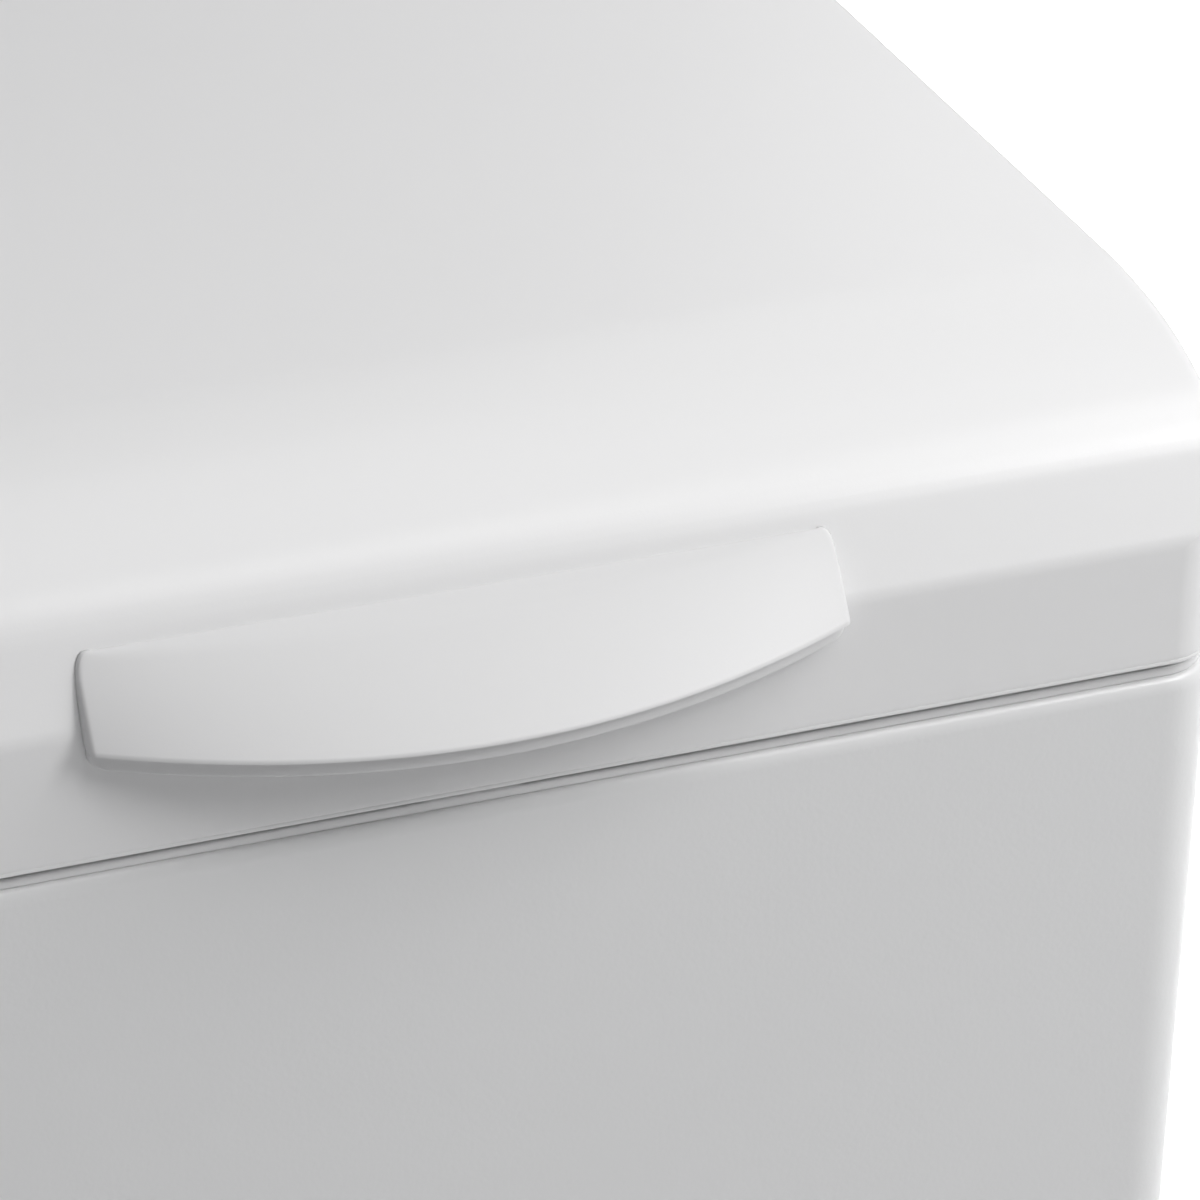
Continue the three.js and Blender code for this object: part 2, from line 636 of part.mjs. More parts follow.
// Points of the lid's section from the flat top forwards and down to the skirt, moved inwards by inset.
function crownPoints(inset) {
  const at = { y: CROWN_REACH, z: LID_HEIGHT - inset };
  let angle = 0;
  const points = [point(at.y, at.z)];
  const arc = ({ r, turn, steps }) => {
    const radius = r - inset;
    for (let i = 0; i < steps; i++) {
      const next = angle + THREE.MathUtils.degToRad(turn) / steps;
      at.y -= radius * (Math.sin(next) - Math.sin(angle));
      at.z -= radius * (Math.cos(angle) - Math.cos(next));
      angle = next;
      points.push(point(at.y, at.z));
    }
  };
  CROWN.forEach(arc);
  at.y -= BEVEL * Math.cos(angle);
  at.z -= BEVEL * Math.sin(angle);
  points.push(point(at.y, at.z));
  arc(SKIRT_FILLET);
  return points;
}

// The solid inside the lid's outer skin, moved inwards by inset; bottom and rear say where it ends.
function lidBlock(inset, bottom, rear) {
  const skirtY = Math.max(crownPoints(inset).at(-1).x, inset);
  const outline = [
    point(rear, LID_HEIGHT - inset),
    ...crownPoints(inset),
    point(skirtY, bottom),
    point(rear, bottom),
  ];
  const section = prismX(outline, span(HALF + 10));
  const radius = CORNER - inset;
  const plan = roundedRect(span(LID_HALF - inset), [inset - 0.05, rear + 1], radius);
  return section.intersect(prismZ(plan, [bottom - 1, LID_HEIGHT + 1]));
}

const LIP = { low: 12, notch: 5.5 }; // rear lip's depth, and half the width of each bracket's notch
const EAR = { inner: 3.5, outer: 11.5, reach: 6, rise: 4 }; // hinge ears on either side of a bracket

function lidOuter() {
  const skin = cut(lidBlock(0, 0, LID_REAR), lidBlock(LID_WALL, -5, LID_REAR + 5));
  const lipY = [LID_REAR - LID_WALL, LID_REAR];
  const lipZ = [LID_HEIGHT - LIP.low, LID_HEIGHT - 1];
  const lip = block(span(LID_HALF - 1), lipY, lipZ);
  const notchZ = [lipZ[0] - 1, LID_HEIGHT - LID_WALL];
  const notches = [-HINGE_X, HINGE_X].map((x) =>
    block([x - LIP.notch, x + LIP.notch], [lipY[0] - 1, lipY[1] + 1], notchZ),
  );
  return named("lid_outer", skin.add(cut(lip, ...notches)), WHITE_PLASTIC);
}

const LINER = { x: 182, front: 38, rear: 426, low: 58, thick: 2 };

// The lid's inner panel: a shallow tray with its rim up against the outer skin, and four hinge ears.
function lidInner() {
  const panel = block(span(LINER.x), [LINER.front, LINER.rear], [LINER.low, LID_HEIGHT]);
  const hollow = block(
    span(LINER.x - LINER.thick),
    [LINER.front + LINER.thick, LINER.rear - LINER.thick],
    [LINER.low + LINER.thick, LID_HEIGHT + 1],
  );
  let liner = cut(panel, hollow).intersect(lidBlock(LID_WALL + FIT, 0, LID_REAR));
  for (const middle of [-HINGE_X, HINGE_X]) {
    for (const side of [-1, 1]) {
      const ends = [middle + side * EAR.inner, middle + side * EAR.outer];
      const x = [Math.min(...ends), Math.max(...ends)];
      const arm = block(x, [LINER.rear - EAR.reach, PIVOT.y], [LINER.low, PIVOT.z + EAR.rise]);
      const eye = barX(EYE_R, x, PIVOT.y, PIVOT.z, 16);
      const bore = barX(PIN_R + FIT, [x[0] - OVER, x[1] + OVER], PIVOT.y, PIVOT.z, 16);
      liner = cut(liner.add(arm).add(eye), bore);
    }
  }
  return named("lid_inner", liner, WHITE_PLASTIC);
}

function hingePin(name, side) {
  const x = [side * HINGE_X - PIN_HALF, side * HINGE_X + PIN_HALF];
  return named(name, barX(PIN_R, x, PIVOT.y, PIVOT.z, 12), STAINLESS);
}

// The hook under the lid's front edge that enters the lid lock.
const STRIKE = { half: 8, back: 6, thick: 5, low: -14, barb: 4, barbReach: 2 };

function lidStrike() {
  const front = HOOK_SLOT.y[0] - FRONT + STRIKE.back;
  const y = [front, front + STRIKE.thick];
  const stem = block(span(STRIKE.half), y, [STRIKE.low, 55]);
  const barbY = [y[0] - STRIKE.barbReach, y[1]];
  const barb = block(span(STRIKE.half), barbY, [STRIKE.low, STRIKE.low + STRIKE.barb]);
  const strike = join(stem, barb).intersect(lidBlock(LID_WALL + FIT, -20, LID_REAR));
  return named("lid_strike", strike, GREY_PLASTIC);
}

// The grip: a visor whose straight top edge lies on the bevel and whose lower edge is an arc in plan.
const GRIP = {
  half: 94.7,
  stations: 16,
  root: { y: 7.8, z: 51.9 },
  crest: { y: 0.4, z: 49.5 },
  corner: { y: -6, z: 33.2 },
  nose: { y: -GRIP_REACH, z: 30.5 },
  lip: 3,
  wall: 2.8,
};

function gripSection(x, hollow) {
  const bow = 1 - (x / GRIP.half) ** 2;
  const mix = (a, b) => a + (b - a) * bow;
  const crest = point(mix(GRIP.root.y, GRIP.crest.y), mix(GRIP.root.z, GRIP.crest.z));
  const nose = point(mix(GRIP.corner.y, GRIP.nose.y), mix(GRIP.corner.z, GRIP.nose.z));
  const back = 30;
  if (!hollow) {
    return [
      point(back, GRIP.root.z),
      point(GRIP.root.y, GRIP.root.z),
      point(crest.x - 0.01, crest.y - 0.01),
      nose,
      point(nose.x, nose.y - GRIP.lip),
      point(back, nose.y - GRIP.lip),
    ];
  }
  const top = crest.y - 1.3 * GRIP.wall;
  const low = nose.y - GRIP.lip - 2;
  return [
    point(back + 1, top),
    point(crest.x + 0.3 * GRIP.wall, top),
    point(nose.x + GRIP.wall, nose.y - 0.6 * GRIP.wall),
    point(nose.x + GRIP.wall, low),
    point(back + 1, low),
  ];
}

// A solid through a row of sections across X, with flat ends; each section runs anticlockwise in (y, z).
function loft(sections, xs) {
  const count = sections[0].length;
  const last = xs.length - 1;
  const corner = (i, k) => [xs[i], sections[i][k % count].x, sections[i][k % count].y];
  const positions = [];
  for (let i = 0; i < last; i++) {
    for (let k = 0; k < count; k++) {
      positions.push(...corner(i, k), ...corner(i + 1, k + 1), ...corner(i + 1, k));
      positions.push(...corner(i, k), ...corner(i, k + 1), ...corner(i + 1, k + 1));
    }
  }
  for (const [a, b, c] of THREE.ShapeUtils.triangulateShape(sections[0], [])) {
    positions.push(...corner(0, c), ...corner(0, b), ...corner(0, a));
  }
  for (const [a, b, c] of THREE.ShapeUtils.triangulateShape(sections[last], [])) {
    positions.push(...corner(last, a), ...corner(last, b), ...corner(last, c));
  }
  const geometry = new THREE.BufferGeometry();
  geometry.setAttribute("position", new THREE.Float32BufferAttribute(positions, 3));
  return solid(geometry);
}

function lidHandle() {
  const across = (half) => {
    const xs = [];
    for (let i = 0; i <= GRIP.stations; i++) {
      xs.push(-half * Math.cos((Math.PI * i) / GRIP.stations));
    }
    return xs;
  };
  const outerXs = across(GRIP.half);
  const innerXs = across(GRIP.half - GRIP.wall);
  const visor = loft(outerXs.map((x) => gripSection(x, false)), outerXs);
  const hollow = loft(innerXs.map((x) => gripSection(x, true)), innerXs);
  return named("lid_handle", cut(visor, hollow, lidBlock(-FIT, -5, LID_REAR)), WHITE_PLASTIC);
}

// ---------------------------------------------------------------- tub
// In the tub's frame the drum axis is the X axis through the origin.
const HUB = { r: 34, bore: 26, low: 141, high: 157 };
const LUG = { reach: 10, half: 10, thick: 8 }; // shelf on the tub that a spring pulls on
const DAMPER_LUG = { x: 12, y: 14, thick: 20 };
const SHAFT_R = 12.5;
const DAMPER = { x: 112, rod: 6, bore: 8, outer: 13, low: BASE_Z + 4.5, high: 118 };

function tubBody() {
  const r = TUB_IN + TUB_WALL;
  const neckTop = NECK.top - AXIS.z;
  const shell = barX(r, span(TUB_HALF + TUB_WALL), 0, 0, 48);
  const flange = barX(r + 6, span(6), 0, 0, 48);
  const collar = block(span(NECK.x + TUB_WALL), span(NECK.y + TUB_WALL), [180, neckTop]);
  const hubs = [-1, 1].map((side) =>
    barX(HUB.r, side > 0 ? [HUB.low, HUB.high] : [-HUB.high, -HUB.low], 0, 0, 24),
  );
  let tub = join(shell, flange, collar);
  tub = cut(
    tub,
    barX(TUB_IN, span(TUB_HALF), 0, 0, 48),
    block(span(NECK.x), span(NECK.y), [150, neckTop + 1]),
  );
  tub = cut(join(tub, ...hubs), barX(HUB.bore + FIT, span(TUB_HALF + 20), 0, 0, 24));
  for (const side of [-1, 1]) {
    const lugEnd = SPRINGS.x + LUG.reach;
    const lugX = side > 0 ? [TUB_HALF + 2, lugEnd] : [-lugEnd, -TUB_HALF - 2];
    const lugZ = SPRINGS.low - AXIS.z;
    const damperX = [side * DAMPER.x - DAMPER_LUG.x, side * DAMPER.x + DAMPER_LUG.x];
    const damperZ = [-TUB_IN - DAMPER_LUG.thick, -TUB_IN - 1];
    tub = tub.add(block(lugX, span(LUG.half), [lugZ - LUG.thick, lugZ - FIT]));
    tub = tub.add(block(damperX, span(DAMPER_LUG.y), damperZ));
  }
  return tub;
}

function tubHalf(name, side) {
  const x = side > 0 ? [FIT / 2, HALF] : [-HALF, -FIT / 2];
  let half = tubBody().intersect(block(x, span(300), span(300)));
  if (side < 0) {
    const port = block([-170, -140], span(17), [HEATER.z - 7, HEATER.z + 7]);
    half = half.subtract(port);
  }
  return named(name, half, TUB_PLASTIC);
}

// A hairpin element lying in the gap under the drum, on a flange plate at the tub's left wall.
const HEATER = {
  z: -240,
  r: 3,
  legs: 10,
  left: -150,
  plateHalf: 22,
  plateLeft: -160,
  blade: 2,
  bladeLong: 10,
};

function heater() {
  const { z, r, legs, left } = HEATER;
  const points = [
    [left, -legs, z],
    [-60, -legs, z],
    [60, -legs, z],
    [78, -6, z - 0.3],
    [84, 0, z - 0.4],
    [78, 6, z - 0.3],
    [60, legs, z],
    [-60, legs, z],
    [left, legs, z],
  ];
  const hairpin = tube(points, r, 26, 6);
  const plateX = [HEATER.plateLeft, -TUB_HALF - TUB_WALL - FIT];
  const plate = block(plateX, span(HEATER.plateHalf), [z - 8, z + 12]);
  const terminals = [-legs, legs].map((y) =>
    block(
      [HEATER.plateLeft - HEATER.bladeLong, HEATER.plateLeft + 1],
      [y - HEATER.blade, y + HEATER.blade],
      [z - r, z + r],
    ),
  );
  const stubs = [-legs, legs].map((y) => barX(r, [left - 5, left + 1], y, z, 6));
  return named("heater", join(hairpin, plate, ...terminals, ...stubs), STAINLESS);
}

const WEIGHT_HALF = 112;

function counterweight(name, y, z) {
  const slab = block(span(WEIGHT_HALF), y, z);
  const tubClearance = barX(TUB_IN + TUB_WALL + 7, span(HALF), 0, 0, 48);
  return named(name, cut(slab, tubClearance), CONCRETE);
}

const STATOR = { x: [60, 122], half: 48, top: 66 };
const MOTOR_FOOT = { x: [66, 116], y: [-52, -12], z: [36, 78] };

function driveMotor() {
  const body = barX(MOTOR.r, MOTOR.x, 0, 0, 24);
  const nose = barX(MOTOR.nose, [MOTOR.x[1] - 1, MOTOR.noseEnd], 0, 0, 16);
  const core = block(STATOR.x, span(STATOR.half), [-STATOR.half, STATOR.top]);
  const feet = block(MOTOR_FOOT.x, MOTOR_FOOT.y, MOTOR_FOOT.z);
  const bore = barX(MOTOR.shaft + FIT, [MOTOR.x[1] - 20, MOTOR.noseEnd + 2], 0, 0, 12);
  const clear = barX(TUB_IN + TUB_WALL + 1, span(HALF), -MOTOR.y, -MOTOR.z, 48);
  const mesh = named("motor", cut(join(body, nose, core, feet), bore, clear), ALUMINIUM);
  mesh.position.set(0, MOTOR.y, MOTOR.z);
  return mesh;
}

function motorPulley() {
  const wheel = join(
    barX(MOTOR_PULLEY_R, WHEEL_X, 0, 0, 20),
    barX(MOTOR_PULLEY_R + 2, [WHEEL_X[0] - 2, WHEEL_X[0]], 0, 0, 20),
    barX(MOTOR.shaft, [125, WHEEL_X[1] + 3], 0, 0, 12),
  );
  const mesh = named("motor_pulley", wheel, ZINC);
  mesh.position.set(0, MOTOR.y, MOTOR.z);
  return mesh;
}

// A closed loop round two pulleys, as an outline in (y, z) at the given distance from their rims.
function beltLoop(gap) {
  const big = PULLEY_R + gap;
  const small = MOTOR_PULLEY_R + gap;
  const distance = Math.hypot(MOTOR.y, MOTOR.z);
  const heading = Math.atan2(MOTOR.z, MOTOR.y);
  const lean = Math.acos((big - small) / distance);
  const loop = new THREE.Shape();
  loop.absarc(0, 0, big, heading + lean, heading - lean + 2 * Math.PI, false);
  loop.absarc(MOTOR.y, MOTOR.z, small, heading - lean, heading + lean, false);
  return loop;
}

function driveBelt() {
  const x = [BELT_X, BELT_X + BELT_WIDE];
  const outside = prismX(beltLoop(3.4), x, 14);
  const inside = prismX(beltLoop(0.5), [x[0] - OVER, x[1] + OVER], 14);
  return named("drive_belt", cut(outside, inside), BLACK_RUBBER);
}

function bearing(name, side) {
  const x = side > 0 ? [HUB.low + 1, HUB.high - 1] : [1 - HUB.high, -HUB.low - 1];
  const bore = barX(SHAFT_R + FIT, [x[0] - OVER, x[1] + OVER], 0, 0, 20);
  return named(name, cut(barX(HUB.bore, x, 0, 0, 24), bore), STAINLESS);
}

function damperRod(name, side) {
  const z = [DAMPER.low + 30, AXIS.z - TUB_IN - DAMPER_LUG.thick - FIT];
  return named(name, barZ(DAMPER.rod, z, side * DAMPER.x, AXIS.y, 12), ZINC);
}

function damperCylinder(name, side) {
  const x = side * DAMPER.x;
  const body = barZ(DAMPER.outer, [DAMPER.low, DAMPER.high], x, AXIS.y, 16);
  const bore = barZ(DAMPER.bore, [DAMPER.low + 6, DAMPER.high + 1], x, AXIS.y, 16);
  return named(name, cut(body, bore), DARK_PLASTIC);
}

// An open coil with its ends run straight up to the hanger and down to the tub's lug.
function spring(name, side) {
  const steps = SPRINGS.turns * SPRINGS.perTurn;
  const length = SPRINGS.high - SPRINGS.low - 1;
  const lead = SPRINGS.lead;
  const points = [[0, 0, 0.6]];
  for (let i = 0; i <= steps; i++) {
    const angle = (2 * Math.PI * i) / SPRINGS.perTurn;
    const z = lead + ((length - 2 * lead) * i) / steps;
    points.push([SPRINGS.r * Math.cos(angle), SPRINGS.r * Math.sin(angle), z]);
  }
  points.push([0, 0, length]);
  const mesh = named(name, tube(points, SPRINGS.wire, steps + 8, 3), ZINC);
  mesh.position.set(side * SPRINGS.x, AXIS.y, SPRINGS.low + 0.2);
  return mesh;
}

// ---------------------------------------------------------------- drum
const DOOR_ANGLE = Math.asin(DOOR_HALF / DRUM_R); // from straight up to the door opening's edge
const LIFTER = { base: 24, tip: 7, height: 178, turns: [-62, 62, 0] }; // height is the tip's radius

// A band between two radii and two angles from straight up, as an outline in (y, z).
function arcBand(inner, outer, from, to, steps) {
  const outline = [];
  for (let i = 0; i <= steps; i++) {
    const angle = from + ((to - from) * i) / steps;
    outline.push(point(outer * Math.sin(angle), outer * Math.cos(angle)));
  }
  for (let i = steps; i >= 0; i--) {
    const angle = from + ((to - from) * i) / steps;
    outline.push(point(inner * Math.sin(angle), inner * Math.cos(angle)));
  }
  return outline.reverse();
}

function drumShell() {
  const wall = 2;
  const sides = 48;
  const skin = cut(
    barX(DRUM_R, span(DRUM_HALF), 0, 0, sides),
    barX(DRUM_R - wall, span(DRUM_HALF - wall), 0, 0, sides),
  );
  const opening = block(span(DOOR_X), span(DOOR_HALF), [180, 240]);
  const boss = barX(SHAFT_R + FIT, span(DRUM_HALF + 5), 0, 0, 20);
  const lifterOutline = [
    point(-LIFTER.base, -DRUM_R + 1),
    point(LIFTER.base, -DRUM_R + 1),
    point(LIFTER.tip, -LIFTER.height),
    point(-LIFTER.tip, -LIFTER.height),
  ];
  let drum = cut(skin, opening, boss);
  for (const turn of LIFTER.turns) {
    const lifter = prismX(lifterOutline, span(DRUM_HALF - 1));
    drum = drum.add(lifter.rotate([turn, 0, 0]));
  }
  return named("drum_shell", drum, STAINLESS);
}

const FLAP_THICK = 3;
const FLAP_BUTTON = { half: 17, y: [-34, -16], gap: 1, under: 7 };

function drumFlap(name, end) {
  const low = 0.003;
  const high = DOOR_ANGLE - 0.008;
  const outline = arcBand(DRUM_R - FLAP_THICK, DRUM_R, low, high, 6);
  const placed = end > 0 ? outline : outline.map((p) => point(-p.x, p.y)).reverse();
  let flap = prismX(placed, span(DOOR_X - 1.5));
  if (end < 0) {
    const y = [FLAP_BUTTON.y[0] - FLAP_BUTTON.gap, FLAP_BUTTON.y[1] + FLAP_BUTTON.gap];
    flap = flap.subtract(block(span(FLAP_BUTTON.half + FLAP_BUTTON.gap), y, [200, 240]));
  }
  return named(name, flap, STAINLESS);
}

function flapButton() {
  const z = [DRUM_R - FLAP_BUTTON.under, DRUM_R + 1];
  const key = block(span(FLAP_BUTTON.half), FLAP_BUTTON.y, z);
  return named("flap_button", key, GREY_PLASTIC);
}

const SPIDER = { arms: 3, hub: 62, half: 16, from: 40, to: 200, thick: 5 };

// A stub shaft on a three-armed spider; the right one is longer, to carry the pulley.
function drumShaft(name, side) {
  const end = side > 0 ? 182 : 158;
  const x = side > 0 ? [DRUM_HALF - 3, end] : [-end, -DRUM_HALF + 3];
  const outside = DRUM_HALF + SPIDER.thick;
  const plateX = side > 0 ? [DRUM_HALF + FIT, outside] : [-outside, -DRUM_HALF - FIT];
  let spider = join(barX(SHAFT_R, x, 0, 0, 20), barX(SPIDER.hub, plateX, 0, 0, 20));
  for (let i = 0; i < SPIDER.arms; i++) {
    const arm = block(plateX, span(SPIDER.half), [SPIDER.from, SPIDER.to]);
    spider = spider.add(arm.rotate([60 + (360 / SPIDER.arms) * i, 0, 0]));
  }
  return named(name, spider, ALUMINIUM);
}

const SPOKES = { count: 5, half: 9, thick: 5, inset: 4, rim: 6, hub: 26 };

function drumPulley() {
  const through = [WHEEL_X[0] - OVER, WHEEL_X[1] + OVER];
  const inside = barX(PULLEY_R - SPOKES.rim, through, 0, 0, 48);
  const rim = cut(barX(PULLEY_R, WHEEL_X, 0, 0, 48), inside);
  const spokeX = [WHEEL_X[0] + SPOKES.inset, WHEEL_X[0] + SPOKES.inset + SPOKES.thick];
  let wheel = join(rim, barX(SPOKES.hub, WHEEL_X, 0, 0, 20));
  for (let i = 0; i < SPOKES.count; i++) {
    const spoke = block(spokeX, span(SPOKES.half), [20, PULLEY_R - 3]);
    wheel = wheel.add(spoke.rotate([(360 / SPOKES.count) * i, 0, 0]));
  }
  wheel = wheel.subtract(barX(SHAFT_R + FIT, through, 0, 0, 20));
  return named("drum_pulley", wheel, ALUMINIUM);
}

// ---------------------------------------------------------------- assembly
const machine = new THREE.Group();

const cabinet = new THREE.Group();
cabinet.add(cabinetWrap(), rearPanel(), baseTray(), kickPlate(), filterFlap());
cabinet.add(drainPump(), filterCap(), sumpHose(), inletValve(), drainOutlet(), mainsGland());
for (const [label, side] of [["left", -1], ["right", 1]]) {
  cabinet.add(foot(`foot_front_${label}`, side * FEET.x, FEET.front));
  cabinet.add(foot(`foot_rear_${label}`, side * FEET.x, FEET.rear));
  cabinet.add(damperCylinder(`damper_cylinder_${label}`, side));
  cabinet.add(damperRod(`damper_rod_${label}`, side));
  cabinet.add(hingeBracket(`hinge_bracket_${label}`, side));
  cabinet.add(spring(`spring_${label}`, side));
}
cabinet.add(topDeck(), dispenserHousing(), dispenserTray(), lidLock(), doorBellows());

const face = consoleFace();
face.add(consoleFascia(), displayWindow(), controlBoard(), programKnob());
face.add(roundButton(POWER_BUTTON), roundButton(START_BUTTON), ...OPTION_BUTTONS.map(keyButton));
cabinet.add(consoleHousing(), face);

const lid = new THREE.Group();
lid.position.set(0, FRONT, GAP_Z);
lid.add(lidOuter(), lidInner(), lidHandle(), lidStrike());
lid.add(hingePin("hinge_pin_left", -1), hingePin("hinge_pin_right", 1));

const tub = new THREE.Group();
tub.position.set(0, AXIS.y, AXIS.z);
tub.add(tubHalf("tub_left", -1), tubHalf("tub_right", 1), heater());
tub.add(counterweight("counterweight_front", [-262, -150], [-240, -130]));
tub.add(counterweight("counterweight_rear", [150, 262], [130, 240]));
tub.add(driveMotor(), motorPulley(), driveBelt());
tub.add(bearing("bearing_left", -1), bearing("bearing_right", 1));

const drum = new THREE.Group();
drum.add(drumShell(), drumFlap("drum_flap_front", -1), drumFlap("drum_flap_rear", 1), flapButton());
drum.add(drumShaft("drum_shaft_left", -1), drumShaft("drum_shaft_right", 1), drumPulley());
tub.add(drum);

machine.add(cabinet, lid, tub);
export default machine;
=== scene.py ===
"""A slim top load washing machine: visible meshes, materials, light and camera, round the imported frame.

Lengths are in millimetres until a mesh is made, in the frame's own axes: +Z up, the front towards -Y."""

import json
import math

import bmesh
import bpy
from mathutils import Matrix, Vector
from mathutils.geometry import tessellate_polygon


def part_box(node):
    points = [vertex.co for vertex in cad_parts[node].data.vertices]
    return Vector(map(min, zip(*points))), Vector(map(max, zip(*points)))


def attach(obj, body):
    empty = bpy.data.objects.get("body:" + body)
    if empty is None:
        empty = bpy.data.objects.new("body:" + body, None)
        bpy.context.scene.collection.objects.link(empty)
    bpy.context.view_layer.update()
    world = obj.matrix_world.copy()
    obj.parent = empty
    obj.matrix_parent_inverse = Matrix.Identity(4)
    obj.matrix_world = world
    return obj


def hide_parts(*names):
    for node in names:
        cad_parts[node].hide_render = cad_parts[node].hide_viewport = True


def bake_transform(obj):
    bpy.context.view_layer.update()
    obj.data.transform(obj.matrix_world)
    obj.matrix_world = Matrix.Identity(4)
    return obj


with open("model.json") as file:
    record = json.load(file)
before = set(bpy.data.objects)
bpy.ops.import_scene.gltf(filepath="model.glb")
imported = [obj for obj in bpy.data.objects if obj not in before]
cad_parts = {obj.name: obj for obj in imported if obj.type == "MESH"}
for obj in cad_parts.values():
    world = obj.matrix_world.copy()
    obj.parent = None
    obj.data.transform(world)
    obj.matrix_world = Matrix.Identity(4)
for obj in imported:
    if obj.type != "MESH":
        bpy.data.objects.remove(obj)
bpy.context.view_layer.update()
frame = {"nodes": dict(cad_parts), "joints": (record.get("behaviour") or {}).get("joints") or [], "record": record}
MM = 0.001
JOINTS = {joint["name"]: joint for joint in frame["joints"]}


def span(node):
    low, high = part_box(node)
    return low / MM, high / MM


def middle_of(node):
    low, high = span(node)
    return (low + high) / 2


def joint_point(name):
    return Vector(JOINTS[name]["pos_m"]) / MM


# ---------------------------------------------------------------- places, from the frame
CABINET, CABINET_TOP = span("cabinet_wrap")
LID, LID_TOP = span("lid_outer")
DECK, DECK_TOP = span("top_deck")
CONSOLE, CONSOLE_TOP = span("console_housing")
HALF = CABINET_TOP.x
FRONT = CABINET.y
BACK = CABINET_TOP.y
GAP_Z = LID.z
RIM_Z = CABINET_TOP.z
CORNER = 15
SLOPE = math.atan2(-JOINTS["knob_turn"]["axis"][1], JOINTS["knob_turn"]["axis"][2])
KNOB = joint_point("knob_turn")
FACE_ORIGIN = Vector((0, CONSOLE.y, KNOB.z - (KNOB.y - CONSOLE.y) * math.tan(SLOPE)))
FACE = Matrix.Translation(FACE_ORIGIN) @ Matrix.Rotation(SLOPE, 4, "X")
FACE_MID = (KNOB.y - CONSOLE.y) / math.cos(SLOPE)
FACE_THICK = 2.5
AXLE = joint_point("drum_spin")
DRUM_TOP = span("drum_shell")[1]
DRUM_R = DRUM_TOP.z - AXLE.z
DRUM_HALF = DRUM_TOP.x


# ---------------------------------------------------------------- shapes: (points, faces)
def merged(*shapes):
    points, faces = [], []
    for more, sides in shapes:
        base = len(points)
        points += more
        faces += [tuple(base + i for i in side) for side in sides]
    return points, faces


def placed(shape, matrix):
    return [matrix @ Vector(p) for p in shape[0]], shape[1]


def moved(shape, x=0, y=0, z=0):
    return placed(shape, Matrix.Translation((x, y, z)))


def turned(shape, degrees, axis):
    return placed(shape, Matrix.Rotation(math.radians(degrees), 4, axis))


def along_x(shape):
    """An outline drawn in (y, z) and raised along X."""
    return [Vector((p[2], p[0], p[1])) for p in shape[0]], shape[1]


def along_y(shape):
    """An outline drawn in (x, z) and raised along Y."""
    return [Vector((p[0], p[2], p[1])) for p in shape[0]], shape[1]


def grid(rows, around=False, skip=lambda i, j: False):
    """A sheet of quads through rows of points; around closes each row on itself."""
    wide = len(rows[0])
    points = [Vector(p) for row in rows for p in row]
    faces = []
    for i in range(len(rows) - 1):
        for j in range(wide if around else wide - 1):
            k = (j + 1) % wide
            if not skip(i, j):
                faces.append((i * wide + j, i * wide + k, (i + 1) * wide + k, (i + 1) * wide + j))
    return points, faces


def arc(cx, cy, r, start, end, steps):
    angles = [math.radians(start + (end - start) * i / steps) for i in range(steps + 1)]
    return [(cx + r * math.cos(a), cy + r * math.sin(a)) for a in angles]


def ring(cx, cy, r, steps=32):
    return arc(cx, cy, r, 0, 360, steps)[:-1]


def rounded(x, y, r, steps=6):
    """A rectangle with round corners, anticlockwise."""
    r = min(r, (x[1] - x[0]) / 2 - 0.01, (y[1] - y[0]) / 2 - 0.01)
    corners = [(x[1] - r, y[0] + r, -90), (x[1] - r, y[1] - r, 0)]
    corners += [(x[0] + r, y[1] - r, 90), (x[0] + r, y[0] + r, 180)]
    return [p for cx, cy, start in corners for p in arc(cx, cy, r, start, start + 90, steps)]


def hole(outline):
    return list(reversed(outline))


def inset(outline, by):
    """The outline moved to its left, which is into the material for outlines and holes alike."""
    made = []
    for i, (x, y) in enumerate(outline):
        before = Vector((x, y)) - Vector(outline[i - 1])
        after = Vector(outline[(i + 1) % len(outline)]) - Vector((x, y))
        a = Vector((-before.y, before.x)).normalized()
        b = Vector((-after.y, after.x)).normalized()
        made.append(Vector((x, y)) + (a + b) * by / max(1 + a.dot(b), 0.3))
    return made


def plate(outlines, low, high, edge, under=None, steps=3):
    """A solid between two heights with rounded rims; the first outline is outside, the rest are holes."""
    under = edge if under is None else under
    quarter = [math.pi / 2 * i / steps for i in range(steps + 1)]
    levels = [(under * (1 - math.sin(q)), low + under * (1 - math.cos(q))) for q in quarter]
    levels += [(edge * (1 - math.cos(q)), high - edge * (1 - math.sin(q))) for q in quarter]
    shapes, caps = [], {0: [], len(levels) - 1: []}
    for outline in outlines:
        rows = [[(p[0], p[1], z) for p in inset(outline, by)] for by, z in levels]
        shapes.append(grid(rows, around=True))
        for level in caps:
            caps[level].append([Vector(p) for p in rows[level]])
    for loops in caps.values():
        shapes.append(([p for loop in loops for p in loop], tessellate_polygon(loops)))
    return merged(*shapes)


def bar(x, y, z, r, corner=None):
    """A box with rounded edges."""
    return plate([rounded(x, y, corner or r, 5)], z[0], z[1], r)


def capped(rows):
    """Rings of points joined to a tube with both ends closed."""
    points, faces = grid(rows, around=True)
    wide = len(rows[0])
    last = len(points) - wide
    return points, faces + [tuple(range(wide)), tuple(last + i for i in range(wide))]


def lathe(profile, sides, flute=0, waves=0):
    """A profile of (radius, height) turned about Z; flute and waves shape a grip round the points
    that carry a third value."""
    turn = [2 * math.pi * i / sides for i in range(sides)]
    rows = []
    for r, z, *fluted in profile:
        deep = flute if fluted else 0
        wide = [r - deep * (0.5 - 0.5 * math.cos(waves * a)) for a in turn]
        rows.append([(w * math.cos(a), w * math.sin(a), z) for w, a in zip(wide, turn)])
    return capped(rows)


